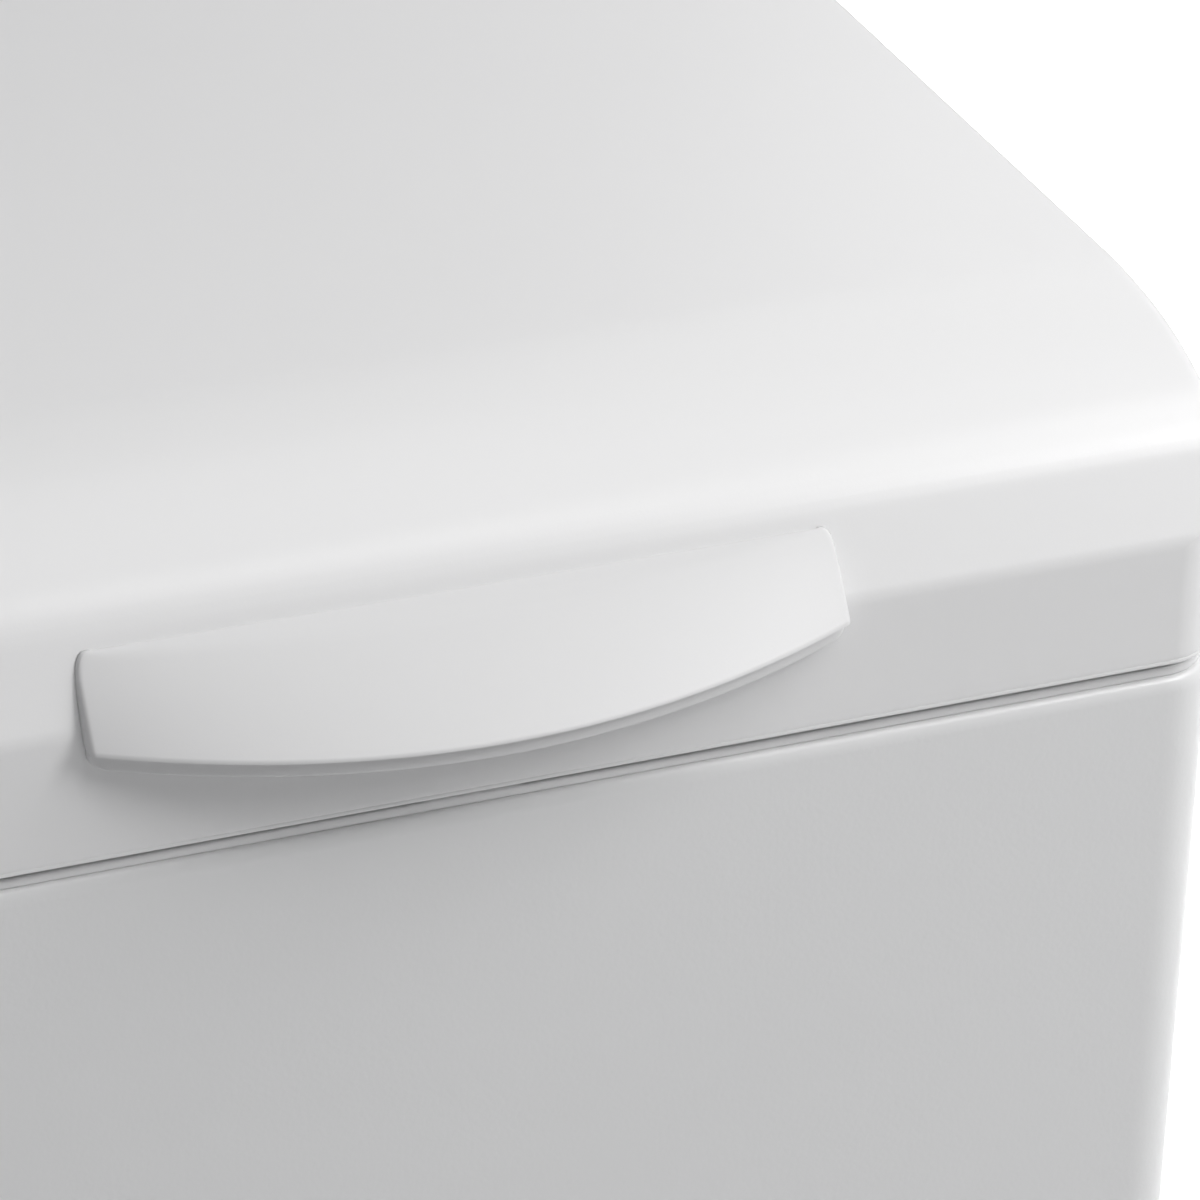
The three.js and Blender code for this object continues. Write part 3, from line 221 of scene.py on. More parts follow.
def flowing(stops, steps):
    """A smooth line through a list of points, in so many steps between each two."""
    stops = [Vector(p) for p in stops]
    ends = [stops[0] * 2 - stops[1]] + stops + [stops[-1] * 2 - stops[-2]]
    path = []
    for a, b, c, d in zip(ends, ends[1:], ends[2:], ends[3:]):
        for i in range(steps):
            t = i / steps
            bend = (a * 2 - b * 5 + c * 4 - d) * t * t + (b * 3 - a - c * 3 + d) * t**3
            path.append((b * 2 + (c - a) * t + bend) / 2)
    return path + [stops[-1]]


def pipe(path, r, sides=12, ripple=0):
    """A round bar along a list of points; ripple is taken off its radius at every other pair of them."""
    path = [Vector(p) for p in path]
    turn = [2 * math.pi * k / sides for k in range(sides)]
    rows, side = [], None
    for i, p in enumerate(path):
        along = (path[min(i + 1, len(path) - 1)] - path[max(i - 1, 0)]).normalized()
        side = side or along.orthogonal()
        side = (side - along * side.dot(along)).normalized()
        up = along.cross(side)
        wide = r - ripple * (i // 2 % 2)
        rows.append([p + side * wide * math.cos(a) + up * wide * math.sin(a) for a in turn])
    return capped(rows)


def screw(r=4.0, tall=2.2):
    """A pan head with a cross recess, standing on z = 0."""
    profile = [(r * 0.96, 0), (r, tall * 0.35), (r * 0.8, tall * 0.8), (r * 0.45, tall), (0.3, tall)]
    slot = bar((-r * 0.55, r * 0.55), (-0.4, 0.4), (tall - 0.3, tall + 0.12), 0.1)
    return merged(lathe(profile, 24), slot, turned(slot, 90, "Z"))


# ---------------------------------------------------------------- materials
def material(name, color, roughness, metallic=0.0, shade=0.02, shade_scale=7.0, spread=0.04,
             grain=900.0, bump=0.04, stretch=(1, 1, 1), coat=0.0, cells=False, specular=0.5):
    """Principled surface: slow colour drift, roughness that varies, and a fine grain, all procedural."""
    made = bpy.data.materials.new(name)
    made.use_nodes = True
    nodes, link = made.node_tree.nodes, made.node_tree.links.new
    shader = nodes["Principled BSDF"]
    shader.inputs["Metallic"].default_value = metallic
    shader.inputs["Coat Weight"].default_value = coat
    shader.inputs["Coat Roughness"].default_value = 0.12
    shader.inputs["Specular IOR Level"].default_value = specular
    coordinates = nodes.new("ShaderNodeTexCoord")
    mapping = nodes.new("ShaderNodeMapping")
    mapping.inputs["Scale"].default_value = stretch
    link(coordinates.outputs["Object"], mapping.inputs["Vector"])

    def texture(kind, scale, source):
        node = nodes.new(kind)
        node.inputs["Scale"].default_value = scale
        link(source, node.inputs["Vector"])
        return node

    drift = texture("ShaderNodeTexNoise", shade_scale, coordinates.outputs["Object"])
    mix = nodes.new("ShaderNodeMix")
    mix.data_type = "RGBA"
    mix.inputs["A"].default_value = [c * (1 - shade) for c in color] + [1]
    mix.inputs["B"].default_value = [min(1, c * (1 + shade)) for c in color] + [1]
    link(drift.outputs["Fac"], mix.inputs["Factor"])
    link(mix.outputs["Result"], shader.inputs["Base Color"])
    wear = texture("ShaderNodeTexNoise", shade_scale * 9, mapping.outputs["Vector"])
    wear.inputs["Detail"].default_value = 4
    level = nodes.new("ShaderNodeMapRange")
    level.inputs["To Min"].default_value = roughness - spread
    level.inputs["To Max"].default_value = roughness + spread
    link(wear.outputs["Fac"], level.inputs["Value"])
    link(level.outputs["Result"], shader.inputs["Roughness"])
    pattern = "ShaderNodeTexVoronoi" if cells else "ShaderNodeTexNoise"
    fine = texture(pattern, grain, mapping.outputs["Vector"])
    relief = nodes.new("ShaderNodeBump")
    relief.inputs["Strength"].default_value = bump
    relief.inputs["Distance"].default_value = 0.0004
    link(fine.outputs["Distance" if cells else "Fac"], relief.inputs["Height"])
    link(relief.outputs["Normal"], shader.inputs["Normal"])
    return made


WHITE = material("white_abs", (0.815, 0.815, 0.817), 0.33, bump=0.03, grain=1400, shade=0.008, spread=0.03)
# The grip's copy of the white plastic: its darker base colour is painted shade; its higher roughness and lower
# specular are the grip's own matt finish.
GRIP_SHADED_WHITE = material("white_grip_painted_shade", (0.725, 0.725, 0.728), 0.45, bump=0.03, grain=1400, shade=0.008,
                      spread=0.03, specular=0.3)
PAINT = material("white_enamel", (0.785, 0.788, 0.79), 0.36, bump=0.10, grain=650, shade=0.008, coat=0.15)
SATIN = material("satin_grey", (0.42, 0.43, 0.44), 0.42, bump=0.12, grain=2200)
GREY = material("grey_plastic", (0.27, 0.28, 0.29), 0.5, bump=0.10, grain=1600)
DARK = material("dark_plastic", (0.03, 0.032, 0.035), 0.48, bump=0.12, grain=1500, shade=0.1)
TUB = material("filled_polypropylene", (0.58, 0.59, 0.56), 0.55, bump=0.2, grain=700, shade=0.05)
GLASS = material("smoked_glass", (0.008, 0.009, 0.011), 0.06, bump=0.0, spread=0.015, coat=0.4)
BOARD = material("solder_mask", (0.02, 0.12, 0.04), 0.4, grain=300, shade=0.15)
CHROME = material("satin_chrome", (0.72, 0.73, 0.74), 0.16, 1.0, bump=0.01, spread=0.03)
STEEL = material("brushed_stainless", (0.62, 0.63, 0.64), 0.27, 1.0, bump=0.10, grain=500,
                 stretch=(1, 14, 14), spread=0.07)
ZINC = material("galvanised_sheet", (0.50, 0.52, 0.54), 0.42, 1.0, bump=0.06, grain=130, cells=True,
                spread=0.12, shade=0.08)
CAST = material("cast_aluminium", (0.55, 0.56, 0.57), 0.5, 1.0, bump=0.35, grain=900, shade=0.06)
RUBBER = material("grey_rubber", (0.15, 0.16, 0.17), 0.72, bump=0.2, grain=1100, shade=0.06)
BLACK = material("black_rubber", (0.014, 0.014, 0.015), 0.7, bump=0.25, grain=1200, shade=0.15)
STONE = material("cast_concrete", (0.33, 0.31, 0.28), 0.9, bump=0.9, grain=260, shade=0.16, shade_scale=40)
MARK = material("printed_mark", (0.10, 0.105, 0.11), 0.5, bump=0.02)
LIT = material("lit_segment", (0.75, 0.9, 1.0), 0.4, bump=0.0)
LIT_SHADER = LIT.node_tree.nodes["Principled BSDF"]
LIT_SHADER.inputs["Emission Color"].default_value = (0.6, 0.85, 1.0, 1)
LIT_SHADER.inputs["Emission Strength"].default_value = 1.2
FINISH = {
    "cabinet_paint": PAINT, "white_plastic": WHITE, "grey_plastic": GREY, "tub_plastic": TUB,
    "dark_plastic": DARK, "black_glass": GLASS, "circuit_board": BOARD, "chrome_trim": CHROME,
    "stainless": STEEL, "zinc_steel": ZINC, "aluminium": CAST, "grey_rubber": RUBBER,
    "black_rubber": BLACK, "concrete": STONE,
}
SLOT = {part["node"]: part["material_slot"] for part in frame["record"]["subparts"]}
BODY = {node: body for body, nodes in frame["record"]["behaviour"]["bodies"].items() for node in nodes}


# ---------------------------------------------------------------- pieces
def added(name, data):
    """A new object in the scene."""
    made = bpy.data.objects.new(name, data)
    bpy.context.scene.collection.objects.link(made)
    return made


def soften(made, width, segments, degrees):
    """Rounds the edges that turn by more than an angle, where the mesh itself leaves them sharp."""
    soft = made.modifiers.new("edges", "BEVEL")
    soft.width = width * MM
    soft.segments = segments
    soft.limit_method = "ANGLE"
    soft.angle_limit = math.radians(degrees)


def piece(name, shape, node, finish=None, replaces=(), crease=38, wall=0, bevel=0, bends=None):
    """Makes the mesh and takes over the CAD node's place. It rides with that node's body, or, when bends is given,
    stays in place on no body; the points in bends are not used."""
    mesh = bpy.data.meshes.new(name)
    mesh.from_pydata([Vector(p) * MM for p in shape[0]], [], shape[1])
    work = bmesh.new()
    work.from_mesh(mesh)
    bmesh.ops.remove_doubles(work, verts=work.verts, dist=2e-6)
    bmesh.ops.dissolve_degenerate(work, edges=work.edges, dist=1e-7)
    bmesh.ops.recalc_face_normals(work, faces=work.faces)
    work.to_mesh(mesh)
    work.free()
    mesh.shade_smooth()
    mesh.set_sharp_from_angle(angle=math.radians(crease))
    mesh.materials.append(finish or FINISH[SLOT[node]])
    made = added(name, mesh)
    if wall:
        solid = made.modifiers.new("wall", "SOLIDIFY")
        solid.thickness = wall * MM
        solid.offset = -1
    if bevel:
        soften(made, bevel, 3, 55)
    made.modifiers.new("normals", "WEIGHTED_NORMAL").keep_sharp = True
    if bends:
        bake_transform(made)
    else:
        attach(made, BODY[node])
    if replaces:
        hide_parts(*replaces)
    return made


def stand_in(node, shape, **options):
    """A detailed piece in place of the CAD node of the same name."""
    return piece(node + "_shape", shape, node, replaces=[node], **options)


# ---------------------------------------------------------------- lid
TOP = LID_TOP.z - GAP_Z
LID_HALF = LID_TOP.x
LID_EDGE = 3.5
SKIRT_ROUND = 0.6
SKIRT_LINE = 1.35
CROWN_BENDS = [(210, 8, 10), (105, 17.5, 16), (30, 37, 18)]
FILLET = (9, 27.5, 14)
BEVEL = 18.42
BEVEL_STEPS = 8


def lid_profile():
    """The lid's side section as (y, z) from the skirt's top back to where the flat top starts.
    A bend is (radius, degrees, steps)."""
    y, z, angle = 0.0, TOP, 0.0
    points = [(y, z)]

    def bend(r, turn, steps):
        nonlocal y, z, angle
        for _ in range(steps):
            following = angle + math.radians(turn) / steps
            y -= r * (math.sin(following) - math.sin(angle))
            z -= r * (math.cos(angle) - math.cos(following))
            angle = following
            points.append((y, z))

    for stretch in CROWN_BENDS:
        bend(*stretch)
    for _ in range(BEVEL_STEPS):
        y -= BEVEL / BEVEL_STEPS * math.cos(angle)
        z -= BEVEL / BEVEL_STEPS * math.sin(angle)
        points.append((y, z))
    bend(*FILLET)
    return [(a - y, b) for a, b in reversed(points)]


SECTION = lid_profile()


def lid_height(y):
    for (y0, z0), (y1, z1) in zip(SECTION, SECTION[1:]):
        if y <= y1:
            return z0 + (z1 - z0) * max(0, y - y0) / max(1e-9, y1 - y0)
    return TOP


def half_at(half, corner, y):
    """Half width of a plan with rounded front corners, at a distance back from its front edge."""
    return half if y >= corner else half - corner + math.sqrt(corner**2 - (corner - y) ** 2)


def edge_drop(half, corner, edge, x, y):
    """How far a rounded rim lowers the surface at (x, y); it fades out towards the front edge."""
    out = abs(x) - (half - corner)
    if y >= corner:
        near, share = half - abs(x), 1
    elif out <= 0:
        return 0
    else:
        near = corner - math.hypot(out, corner - y)
        share = math.atan2(out, corner - y) / (math.pi / 2)
        share = share * share * (3 - 2 * share)
    near = max(near, 0)
    return 0 if near >= edge else share * (edge - math.sqrt(edge**2 - (edge - near) ** 2))


def across(half, insets, inner):
    """Positions from -half to half: dense near the ends, even between."""
    side = [half - i for i in insets]
    reach = side[-1]
    middle = [reach * (1 - 2 * i / inner) for i in range(1, inner)]
    return side + middle + [-x for x in reversed(side)]


RIM_INSETS = (0, 0.12, 0.4, 0.8, 1.4, 2.1, 2.8, 3.5, 5, 8)
LID_COLUMNS = 26
WALL_SHARES = (1, 0.9, 0.75, 0.55, 0.35, 0.18, 0.08)
LINE_WIDE, LINE_DEEP = 0.25, 0.16


def lid_skin():
    depth = LID_TOP.y - LID.y
    corner_rows = [CORNER * (1 - math.cos(math.radians(a))) for a in range(0, 91, 6)]
    flat_rows = [depth * i / 12 for i in range(3, 13)]
    deep = sorted({round(y, 4) for y in corner_rows + [p[0] for p in SECTION] + flat_rows})
    rows = []
    for y in deep:
        xs = across(half_at(LID_HALF, CORNER, y), RIM_INSETS, LID_COLUMNS)
        rows.append([(x, y, lid_height(y) - edge_drop(LID_HALF, CORNER, LID_EDGE, x, y)) for x in xs])
    crown = grid(rows)
    rim = [(row[0], row_normal(y)) for row, y in zip(reversed(rows), reversed(deep))]
    rim += [(p, (0, -1)) for p in rows[0][1:-1]]
    rim += [(row[-1], (-row_normal(y)[0], row_normal(y)[1])) for row, y in zip(rows, deep)]
    walls = []
    for share in WALL_SHARES:
        walls.append([(x, y, z * share) for (x, y, z), _ in rim])
    line = ((SKIRT_LINE + LINE_WIDE, 0), (SKIRT_LINE, LINE_DEEP), (SKIRT_LINE - LINE_WIDE, 0))
    for up, back in line:
        walls.append([(x - n[0] * back, y - n[1] * back, up) for (x, y, _), n in rim])
    for k in range(5):
        turn = math.pi / 2 * k / 4
        back = SKIRT_ROUND * (1 - math.cos(turn))
        up = SKIRT_ROUND * (1 - math.sin(turn))
        walls.append([(x - n[0] * back, y - n[1] * back, up) for (x, y, _), n in rim])
    return moved(merged(crown, grid(walls)), y=FRONT, z=GAP_Z)


def row_normal(y):
    """The plan's outward direction at its right rim."""
    if y >= CORNER:
        return (1.0, 0.0)
    side = math.sqrt(CORNER**2 - (CORNER - y) ** 2) / CORNER
    return (side, -(CORNER - y) / CORNER)


LID_WALL = 2.4
HINGE_NOTCH = 5.5


def lid():
    """The shell, and the lip of its rear edge in three lengths with a notch for each hinge between them."""
    hinge_x = middle_of("hinge_bracket_right").x
    end, inner, outer = LID_HALF - 2.6, hinge_x - HINGE_NOTCH, hinge_x + HINGE_NOTCH
    edges = [-end, -outer, -inner, inner, outer, end]
    y, z = (LID_TOP.y - 2.3, LID_TOP.y - 0.1), (LID_TOP.z - 12, LID_TOP.z - 2.2)
    lip = [bar(x, y, z, 0.6) for x in zip(edges[::2], edges[1::2])]
    stand_in("lid_outer", lid_skin(), wall=LID_WALL, bevel=0.5)
    piece("lid_rear_lip", merged(*lip), "lid_outer")


# The grip: a visor whose section changes from its ends to its middle.
# Its points are (y, z) from the lid's front edge.
GRIP_HALF = 93.2
GRIP_DRAFT = {"low": 0.5, "high": 1.7, "run": 3}
GRIP_CORNER = (4.2, 7.5)
GRIP_EDGE = 1.2
GRIP_NOSE = 0.7
GRIP_STEP = 3.6
GRIP_LIP = 6.3
LIP_CORNER = 2.9
LIP_END = 0.3
GRIP_GAP = 0.3
CREASE_SOFT = 1.8
ROOT, CREST, END_NOSE, MID_NOSE = (7.8, 51.9), (0.4, 49.5), (-6.0, 33.2), (-27.0, 30.5)
UPPER_ROWS = (0, 0.1, 0.3, 0.6, 1, 1.5, 2.1, 2.8, 3.6, 4.4, 5.3, 6.3, 7.5, 8.5, 9.5, 10.5, 11.5, 12.5, 13.5)
LOWER_SHARES = (0.15, 0.35, 0.55, 0.75, 0.9, 1)
END_INSETS = (0, 0.08, 0.25, 0.5, 0.85, 1.25, 1.65, 2.1, 3.2)
GRIP_COLUMNS = 60


def grip_lines(x):
    """Top edge, crease and front edge of the grip's section at x."""
    bow = 1 - min(1, abs(x) / GRIP_HALF) ** 2
    crest = Vector(ROOT).lerp(Vector(CREST), bow)
    return Vector(ROOT), crest, Vector(END_NOSE).lerp(Vector(MID_NOSE), bow)


def grip_face(x, s):
    """The point (y, z) of the grip's face at a distance s down from its top edge."""
    root, crest, nose = grip_lines(x)
    upper = (crest - root).length
    soft = min(CREASE_SOFT, upper)

    def at(t):
        if t < upper:
            return root.lerp(crest, t / upper)
        return crest.lerp(nose, (t - upper) / (nose - crest).length)

    if soft < 0.01 or abs(s - upper) >= soft:
        return at(s)
    t = (s - upper + soft) / (2 * soft)
    return at(upper - soft) * (1 - t) ** 2 + crest * 2 * t * (1 - t) + at(upper + soft) * t * t


def face_length(x):
    root, crest, nose = grip_lines(x)
    return (crest - root).length + (nose - crest).length


def bevel_y(z):
    """How far back the lid's surface lies at a height above the skirt's bottom edge."""
    for (y0, z0), (y1, z1) in zip(SECTION, SECTION[1:]):
        if z0 <= z <= z1:
            return y0 + (y1 - y0) * (z - z0) / (z1 - z0)
    return 0


def grip_rows():
    """Rows of the grip's skin as (half width, point at x, share of edge rounding)."""
    rows = []
    wide, deep = GRIP_CORNER
    for s in UPPER_ROWS:
        k = min(1, s / deep)
        half = GRIP_HALF - wide + wide * math.sqrt(1 - (1 - k) ** 2)
        rows.append((half, lambda x, s=s: grip_face(x, s), k * k * (3 - 2 * k)))
    upper = UPPER_ROWS[-1]

    def lower(x, share):
        return grip_face(x, upper + (face_length(x) - GRIP_NOSE - upper) * share)

    for share in LOWER_SHARES:
        rows.append((GRIP_HALF, lambda x, f=share: lower(x, f), 1))

    def nose(x, t, down=0, back=0):
        start, tip = grip_face(x, face_length(x) - GRIP_NOSE), grip_lines(x)[2]
        low = tip - Vector((0, GRIP_NOSE))
        point = start * (1 - t) ** 2 + tip * 2 * t * (1 - t) + low * t * t
        return point + Vector((back, -down))

    for k in range(1, 7):
        rows.append((GRIP_HALF, lambda x, t=k / 6: nose(x, t), 1))
    rows.append((GRIP_HALF, lambda x: nose(x, 1, 0.1, GRIP_STEP), 1))
    tall = GRIP_LIP - GRIP_NOSE - LIP_END
    for k in range(1, 9):
        h = min(LIP_CORNER, tall * (1 - k / 8))
        half = GRIP_HALF - LIP_CORNER + math.sqrt(LIP_CORNER**2 - (LIP_CORNER - h) ** 2)
        rows.append((half, lambda x, d=tall * k / 8: nose(x, 1, d + 0.1, GRIP_STEP), 1))
    last = rows[-1][0] - LIP_END
    rows.append((last, lambda x: nose(x, 1, tall + LIP_END, GRIP_STEP + 0.35), 1))
    return rows


def grip_skin():
    lines = []
    for half, at, share in grip_rows():
        line = []
        for x in across(half, END_INSETS, GRIP_COLUMNS):
            inset_by = min(GRIP_EDGE, half - abs(x))
            drop = share * (GRIP_EDGE - math.sqrt(GRIP_EDGE**2 - (GRIP_EDGE - inset_by) ** 2))
            y, z = at(x)
            line.append(Vector((x, y + drop * 0.9, z + GRIP_GAP * (1 - share) - drop * 0.25)))
        ends = []
        for tip, side in ((line[0], 1), (line[-1], -1)):
            rear = max(tip.y + 0.05, bevel_y(tip.z) - GRIP_GAP)
            rise = min(1, max(0, (tip.z - END_NOSE[1]) / (CREST[1] - END_NOSE[1])))
            draft = GRIP_DRAFT["low"] + (GRIP_DRAFT["high"] - GRIP_DRAFT["low"]) * rise
            draft *= side * min(1, (rear - tip.y) / GRIP_DRAFT["run"])
            ends.append([tip.lerp(Vector((tip.x + draft, rear, tip.z)), t) for t in (1, 0.5)])
        lines.append(ends[0] + line + ends[1][::-1])
    return moved(grid(lines), y=FRONT, z=GAP_Z)


def grip():
    # The grip's white carries painted shade: a darker base colour than the lid's plastic.
    stand_in("lid_handle", grip_skin(), wall=1.8, crease=60, finish=GRIP_SHADED_WHITE)


PIN_BORE = 3.3
EYE_R = 6


def pin_bore(hinge):
    return hole(ring(hinge.y, hinge.z, PIN_BORE, 20))


def lid_underside():
    low, high = span("lid_inner")
    hinge = joint_point("lid_hinge")
    x, y = (low.x, high.x), (low.y, hinge.y - 10)

    def frame_line(side, front, rear, r):
        return rounded((x[0] + side, x[1] - side), (y[0] + front, y[1] - rear), r)

    panel = plate([frame_line(0, 0, 0, 14)], low.z, low.z + 2.2, 0.6)
    wall = plate([frame_line(0, 0, 0, 14), hole(frame_line(2, 2, 2, 12))], low.z + 1, LID_TOP.z - 10, 0.4)
    rib_loops = [frame_line(34, 62, 40, 26), hole(frame_line(40, 68, 46, 21))]
    rib = plate(rib_loops, low.z - 2.4, low.z + 0.6, 0.3, 1.2)
    ear = [(y[1] - 8, low.z), (hinge.y, hinge.z - EYE_R)] + arc(hinge.y, hinge.z, EYE_R, -80, 90, 10)
    ear = along_x(plate([ear + [(y[1] - 8, hinge.z + 5)], pin_bore(hinge)], -4, 4, 0.5))
    shapes = [panel, wall, rib]
    for sx in (-1, 1):
        shapes += [moved(turned(screw(3.6), 180, "X"), sx * (x[1] - 16), at, low.z + 0.1)
                   for at in (y[0] + 26, y[1] - 18)]
        shapes += [moved(ear, x=sx * middle_of("hinge_bracket_right").x + out) for out in (-7.5, 7.5)]
    stand_in("lid_inner", merged(*shapes))
    for side in ("left", "right"):
        low, high = span(f"hinge_pin_{side}")
        long = high.x - low.x
        profile = [(2.4, 0), (3, 0.6), (3, long - 2.4), (4.3, long - 2.4), (4.3, long - 1)]
        profile += [(3.6, long - 0.3), (1, long)]
        pin = turned(lathe(profile, 24), 90, "Y")
        stand_in(f"hinge_pin_{side}", moved(pin, low.x, hinge.y, hinge.z))


def hinges():
    hinge = joint_point("lid_hinge")
    for side in ("left", "right"):
        low, high = span(f"hinge_bracket_{side}")
        middle = (low.x + high.x) / 2
        base = bar((low.x, high.x), (low.y, high.y), (low.z, low.z + 2.7), 0.8, 4)
        arm = [(hinge.y - 9, low.z + 1), (hinge.y + 9, low.z + 1), (hinge.y + EYE_R, low.z + 14)]
        arm += arc(hinge.y, hinge.z, EYE_R, 0, 180, 16) + [(hinge.y - EYE_R, low.z + 14)]
        stem = moved(along_x(plate([arm, pin_bore(hinge)], -3, 3, 0.7)), x=middle)
        heads = [moved(screw(3, 1.6), middle + sx * 9, hinge.y, low.z + 2.7) for sx in (-1, 1)]
        stand_in(f"hinge_bracket_{side}", merged(base, stem, *heads))


def strike():
    low, high = span("lid_strike")
    top = low.z + 52
    outline = [(high.y, top), (high.y, low.z + 1.4), (high.y - 1.2, low.z), (low.y + 0.6, low.z)]
    outline += [(low.y, low.z + 3.6), (low.y + 2, low.z + 5), (low.y + 2, top)]
    hook = along_x(plate([outline], low.x + 1, high.x - 1, 0.6))
    web = bar((-1.2, 1.2), (high.y - 1, high.y + 5), (low.z + 22, top), 0.4)
    stand_in("lid_strike", merged(hook, web))


# ---------------------------------------------------------------- cabinet
def wrap():
    """The painted sheet round front and sides: top edge rolled in, opening for the kick plate."""
    kick_top, opening = span("kick_plate")[1].z + 1, span("kick_plate")[1].x + 1.2
    roll_in, roll_down, top = 2.0, 4.0, RIM_Z - 0.3
    bends = zip(arc(HALF - CORNER, FRONT + CORNER, CORNER, 0, -90, 12), arc(0, 0, 1, 0, -90, 12))
    right = [((HALF, y), (1, 0)) for y in (BACK - 1, 100, -100)] + list(bends)
    front = [((opening * k / 4, FRONT), (0, -1)) for k in range(4, -5, -1)]
    path = right + front + [((-p[0], p[1]), (-n[0], n[1])) for p, n in reversed(right)]
    levels = [(12, CABINET.z), (1.5, CABINET.z), (0.4, CABINET.z + 0.4), (0, CABINET.z + 1.5)]
    levels += [(0, kick_top), (0, 300), (0, 500), (0, 700)]
    levels += [(roll_in * (1 - back), top - roll_down * (1 - up)) for back, up in arc(0, 0, 1, 0, 90, 10)]
    levels += [(roll_in + 2.5, top), (roll_in + 3, top - 1)]
    rows = [[(p[0] - n[0] * by, p[1] - n[1] * by, z) for p, n in path] for by, z in levels]
    columns = [abs(p[0]) for p, _ in path]

    def at_kick_plate(i, j):
        return i < 4 and max(columns[j:j + 2]) <= opening and path[j][0][1] <= FRONT

    stand_in("cabinet_wrap", grid(rows, skip=at_kick_plate), wall=1.0)
    y, z = (BACK - 1.4, BACK - 0.2), (CABINET.z + 8, RIM_Z - 4)
    flanges = [bar(x, y, z, 0.4) for x in ((-HALF + 0.8, -HALF + 14), (HALF - 14, HALF - 0.8))]
    piece("cabinet_rear_flanges", merged(*flanges), "cabinet_wrap")


def kick():
    """The kick plate with five lines beside its flap, on the side towards -X, and the flap with its finger dip."""
    low, high = span("kick_plate")
    flap_low, flap_high = span("filter_flap")
    opening = hole(rounded((flap_low.x - 1, flap_high.x + 1), (flap_low.z - 1, flap_high.z + 1), 3))
    skin = plate([rounded((low.x, high.x), (low.z, high.z), 2.5), opening], low.y, high.y, 0.8)
    line_x = (low.x + 14, flap_low.x - 14)
    heights = [low.z + 18 + 10 * i for i in range(5)]
    lines = [bar(line_x, (z, z + 2.5), (low.y - 0.7, low.y + 1), 0.6) for z in heights]
    stand_in("kick_plate", along_y(merged(skin, *lines)))
    middle, edge = (flap_low.x + flap_high.x) / 2, flap_high.z - 0.1
    dip_r, dip_up = 14, 5
    outline = rounded((flap_low.x, flap_high.x), (flap_low.z, flap_high.z), 2.5)
    top = next(i for i, p in enumerate(outline) if p[1] > edge and p[0] < middle)
    outline[top:top] = arc(middle, flap_high.z + dip_up, dip_r, -21, -159, 14)
    ends = [(x, flap_low.y + 1.8, flap_low.z + 1.6) for x in (flap_low.x + 6, flap_high.x - 6)]
    ridge_z = (flap_high.z - 17, flap_high.z - 15)
    ridge = bar((middle - 20, middle + 20), ridge_z, (flap_low.y - 0.5, flap_low.y + 0.6), 0.4)
    face = merged(plate([outline], flap_low.y, flap_low.y + 2.1, 0.6), ridge)
    stand_in("filter_flap", merged(along_y(face), pipe(ends, 1.1)))


def feet():
    for side in ("front_left", "front_right", "rear_left", "rear_right"):
        low, high = span(f"foot_{side}")
        x, y = (low.x + high.x) / 2, (low.y + high.y) / 2
        pad = [(17.6, 0), (19, 1.2), (19, 5), (18, 7), (14, 11.6), (9, 13.4), (9, 15)]
        nut = moved(plate([ring(0, 0, 10.4, 6)], 14.2, 19.4, 0.8), x, y)
        turns = [19.5 + 1.5 * i for i in range(18)]
        thread = [p for z in turns for p in ((4.1, z), (5, z + 0.7))]
        stand_in(f"foot_{side}", merged(moved(lathe(pad + thread, 28), x, y), nut))


COVER = {"half": 118.5, "low": 181.5, "high": 558.5, "r": 12}


def cover_line(out, r=COVER["r"]):
    """The outline of the service cover in the rear panel, moved out by a distance."""
    half = COVER["half"] + out
    return rounded((-half, half), (COVER["low"] - out, COVER["high"] + out), r)


def back():
    """The rear panel: vents, openings for the connections, and a ribbed service cover that lies deeper."""
    low, high = span("rear_panel")
    loops = [rounded((low.x, high.x), (low.z, high.z), 4), hole(cover_line(0))]
    for node, r in (("inlet_valve", 15), ("drain_outlet", 13), ("mains_gland", 10.5)):
        loops.append(hole(ring(middle_of(node).x, middle_of(node).z, r, 28)))
    vents = [(x, z) for z in (600, 614) for x in range(-100, 108, 26)]
    loops += [hole(rounded((x, x + 14), (z, z + 6), 3)) for x, z in vents]
    sheet = plate(loops, high.y - 1.6, high.y, 0.3)
    inner = plate([cover_line(1)], low.y, low.y + 1.4, 0.3)
    ribs = [bar((-86, 86), (z, z + 8), (low.y + 1, low.y + 3.4), 1.1, 4) for z in range(230, 501, 54)]
    rim = plate([cover_line(1), hole(cover_line(0, 11))], low.y + 0.8, high.y, 0.2)
    spots = [(188, z) for z in (60, 290, 520, 745)] + [(126, z) for z in (200, 370, 540)]
    head = turned(screw(), -90, "X")
    heads = [moved(head, side * x, high.y - 0.1, z) for side in (-1, 1) for x, z in spots]
    stand_in("rear_panel", merged(along_y(merged(sheet, inner, rim, *ribs)), *heads))


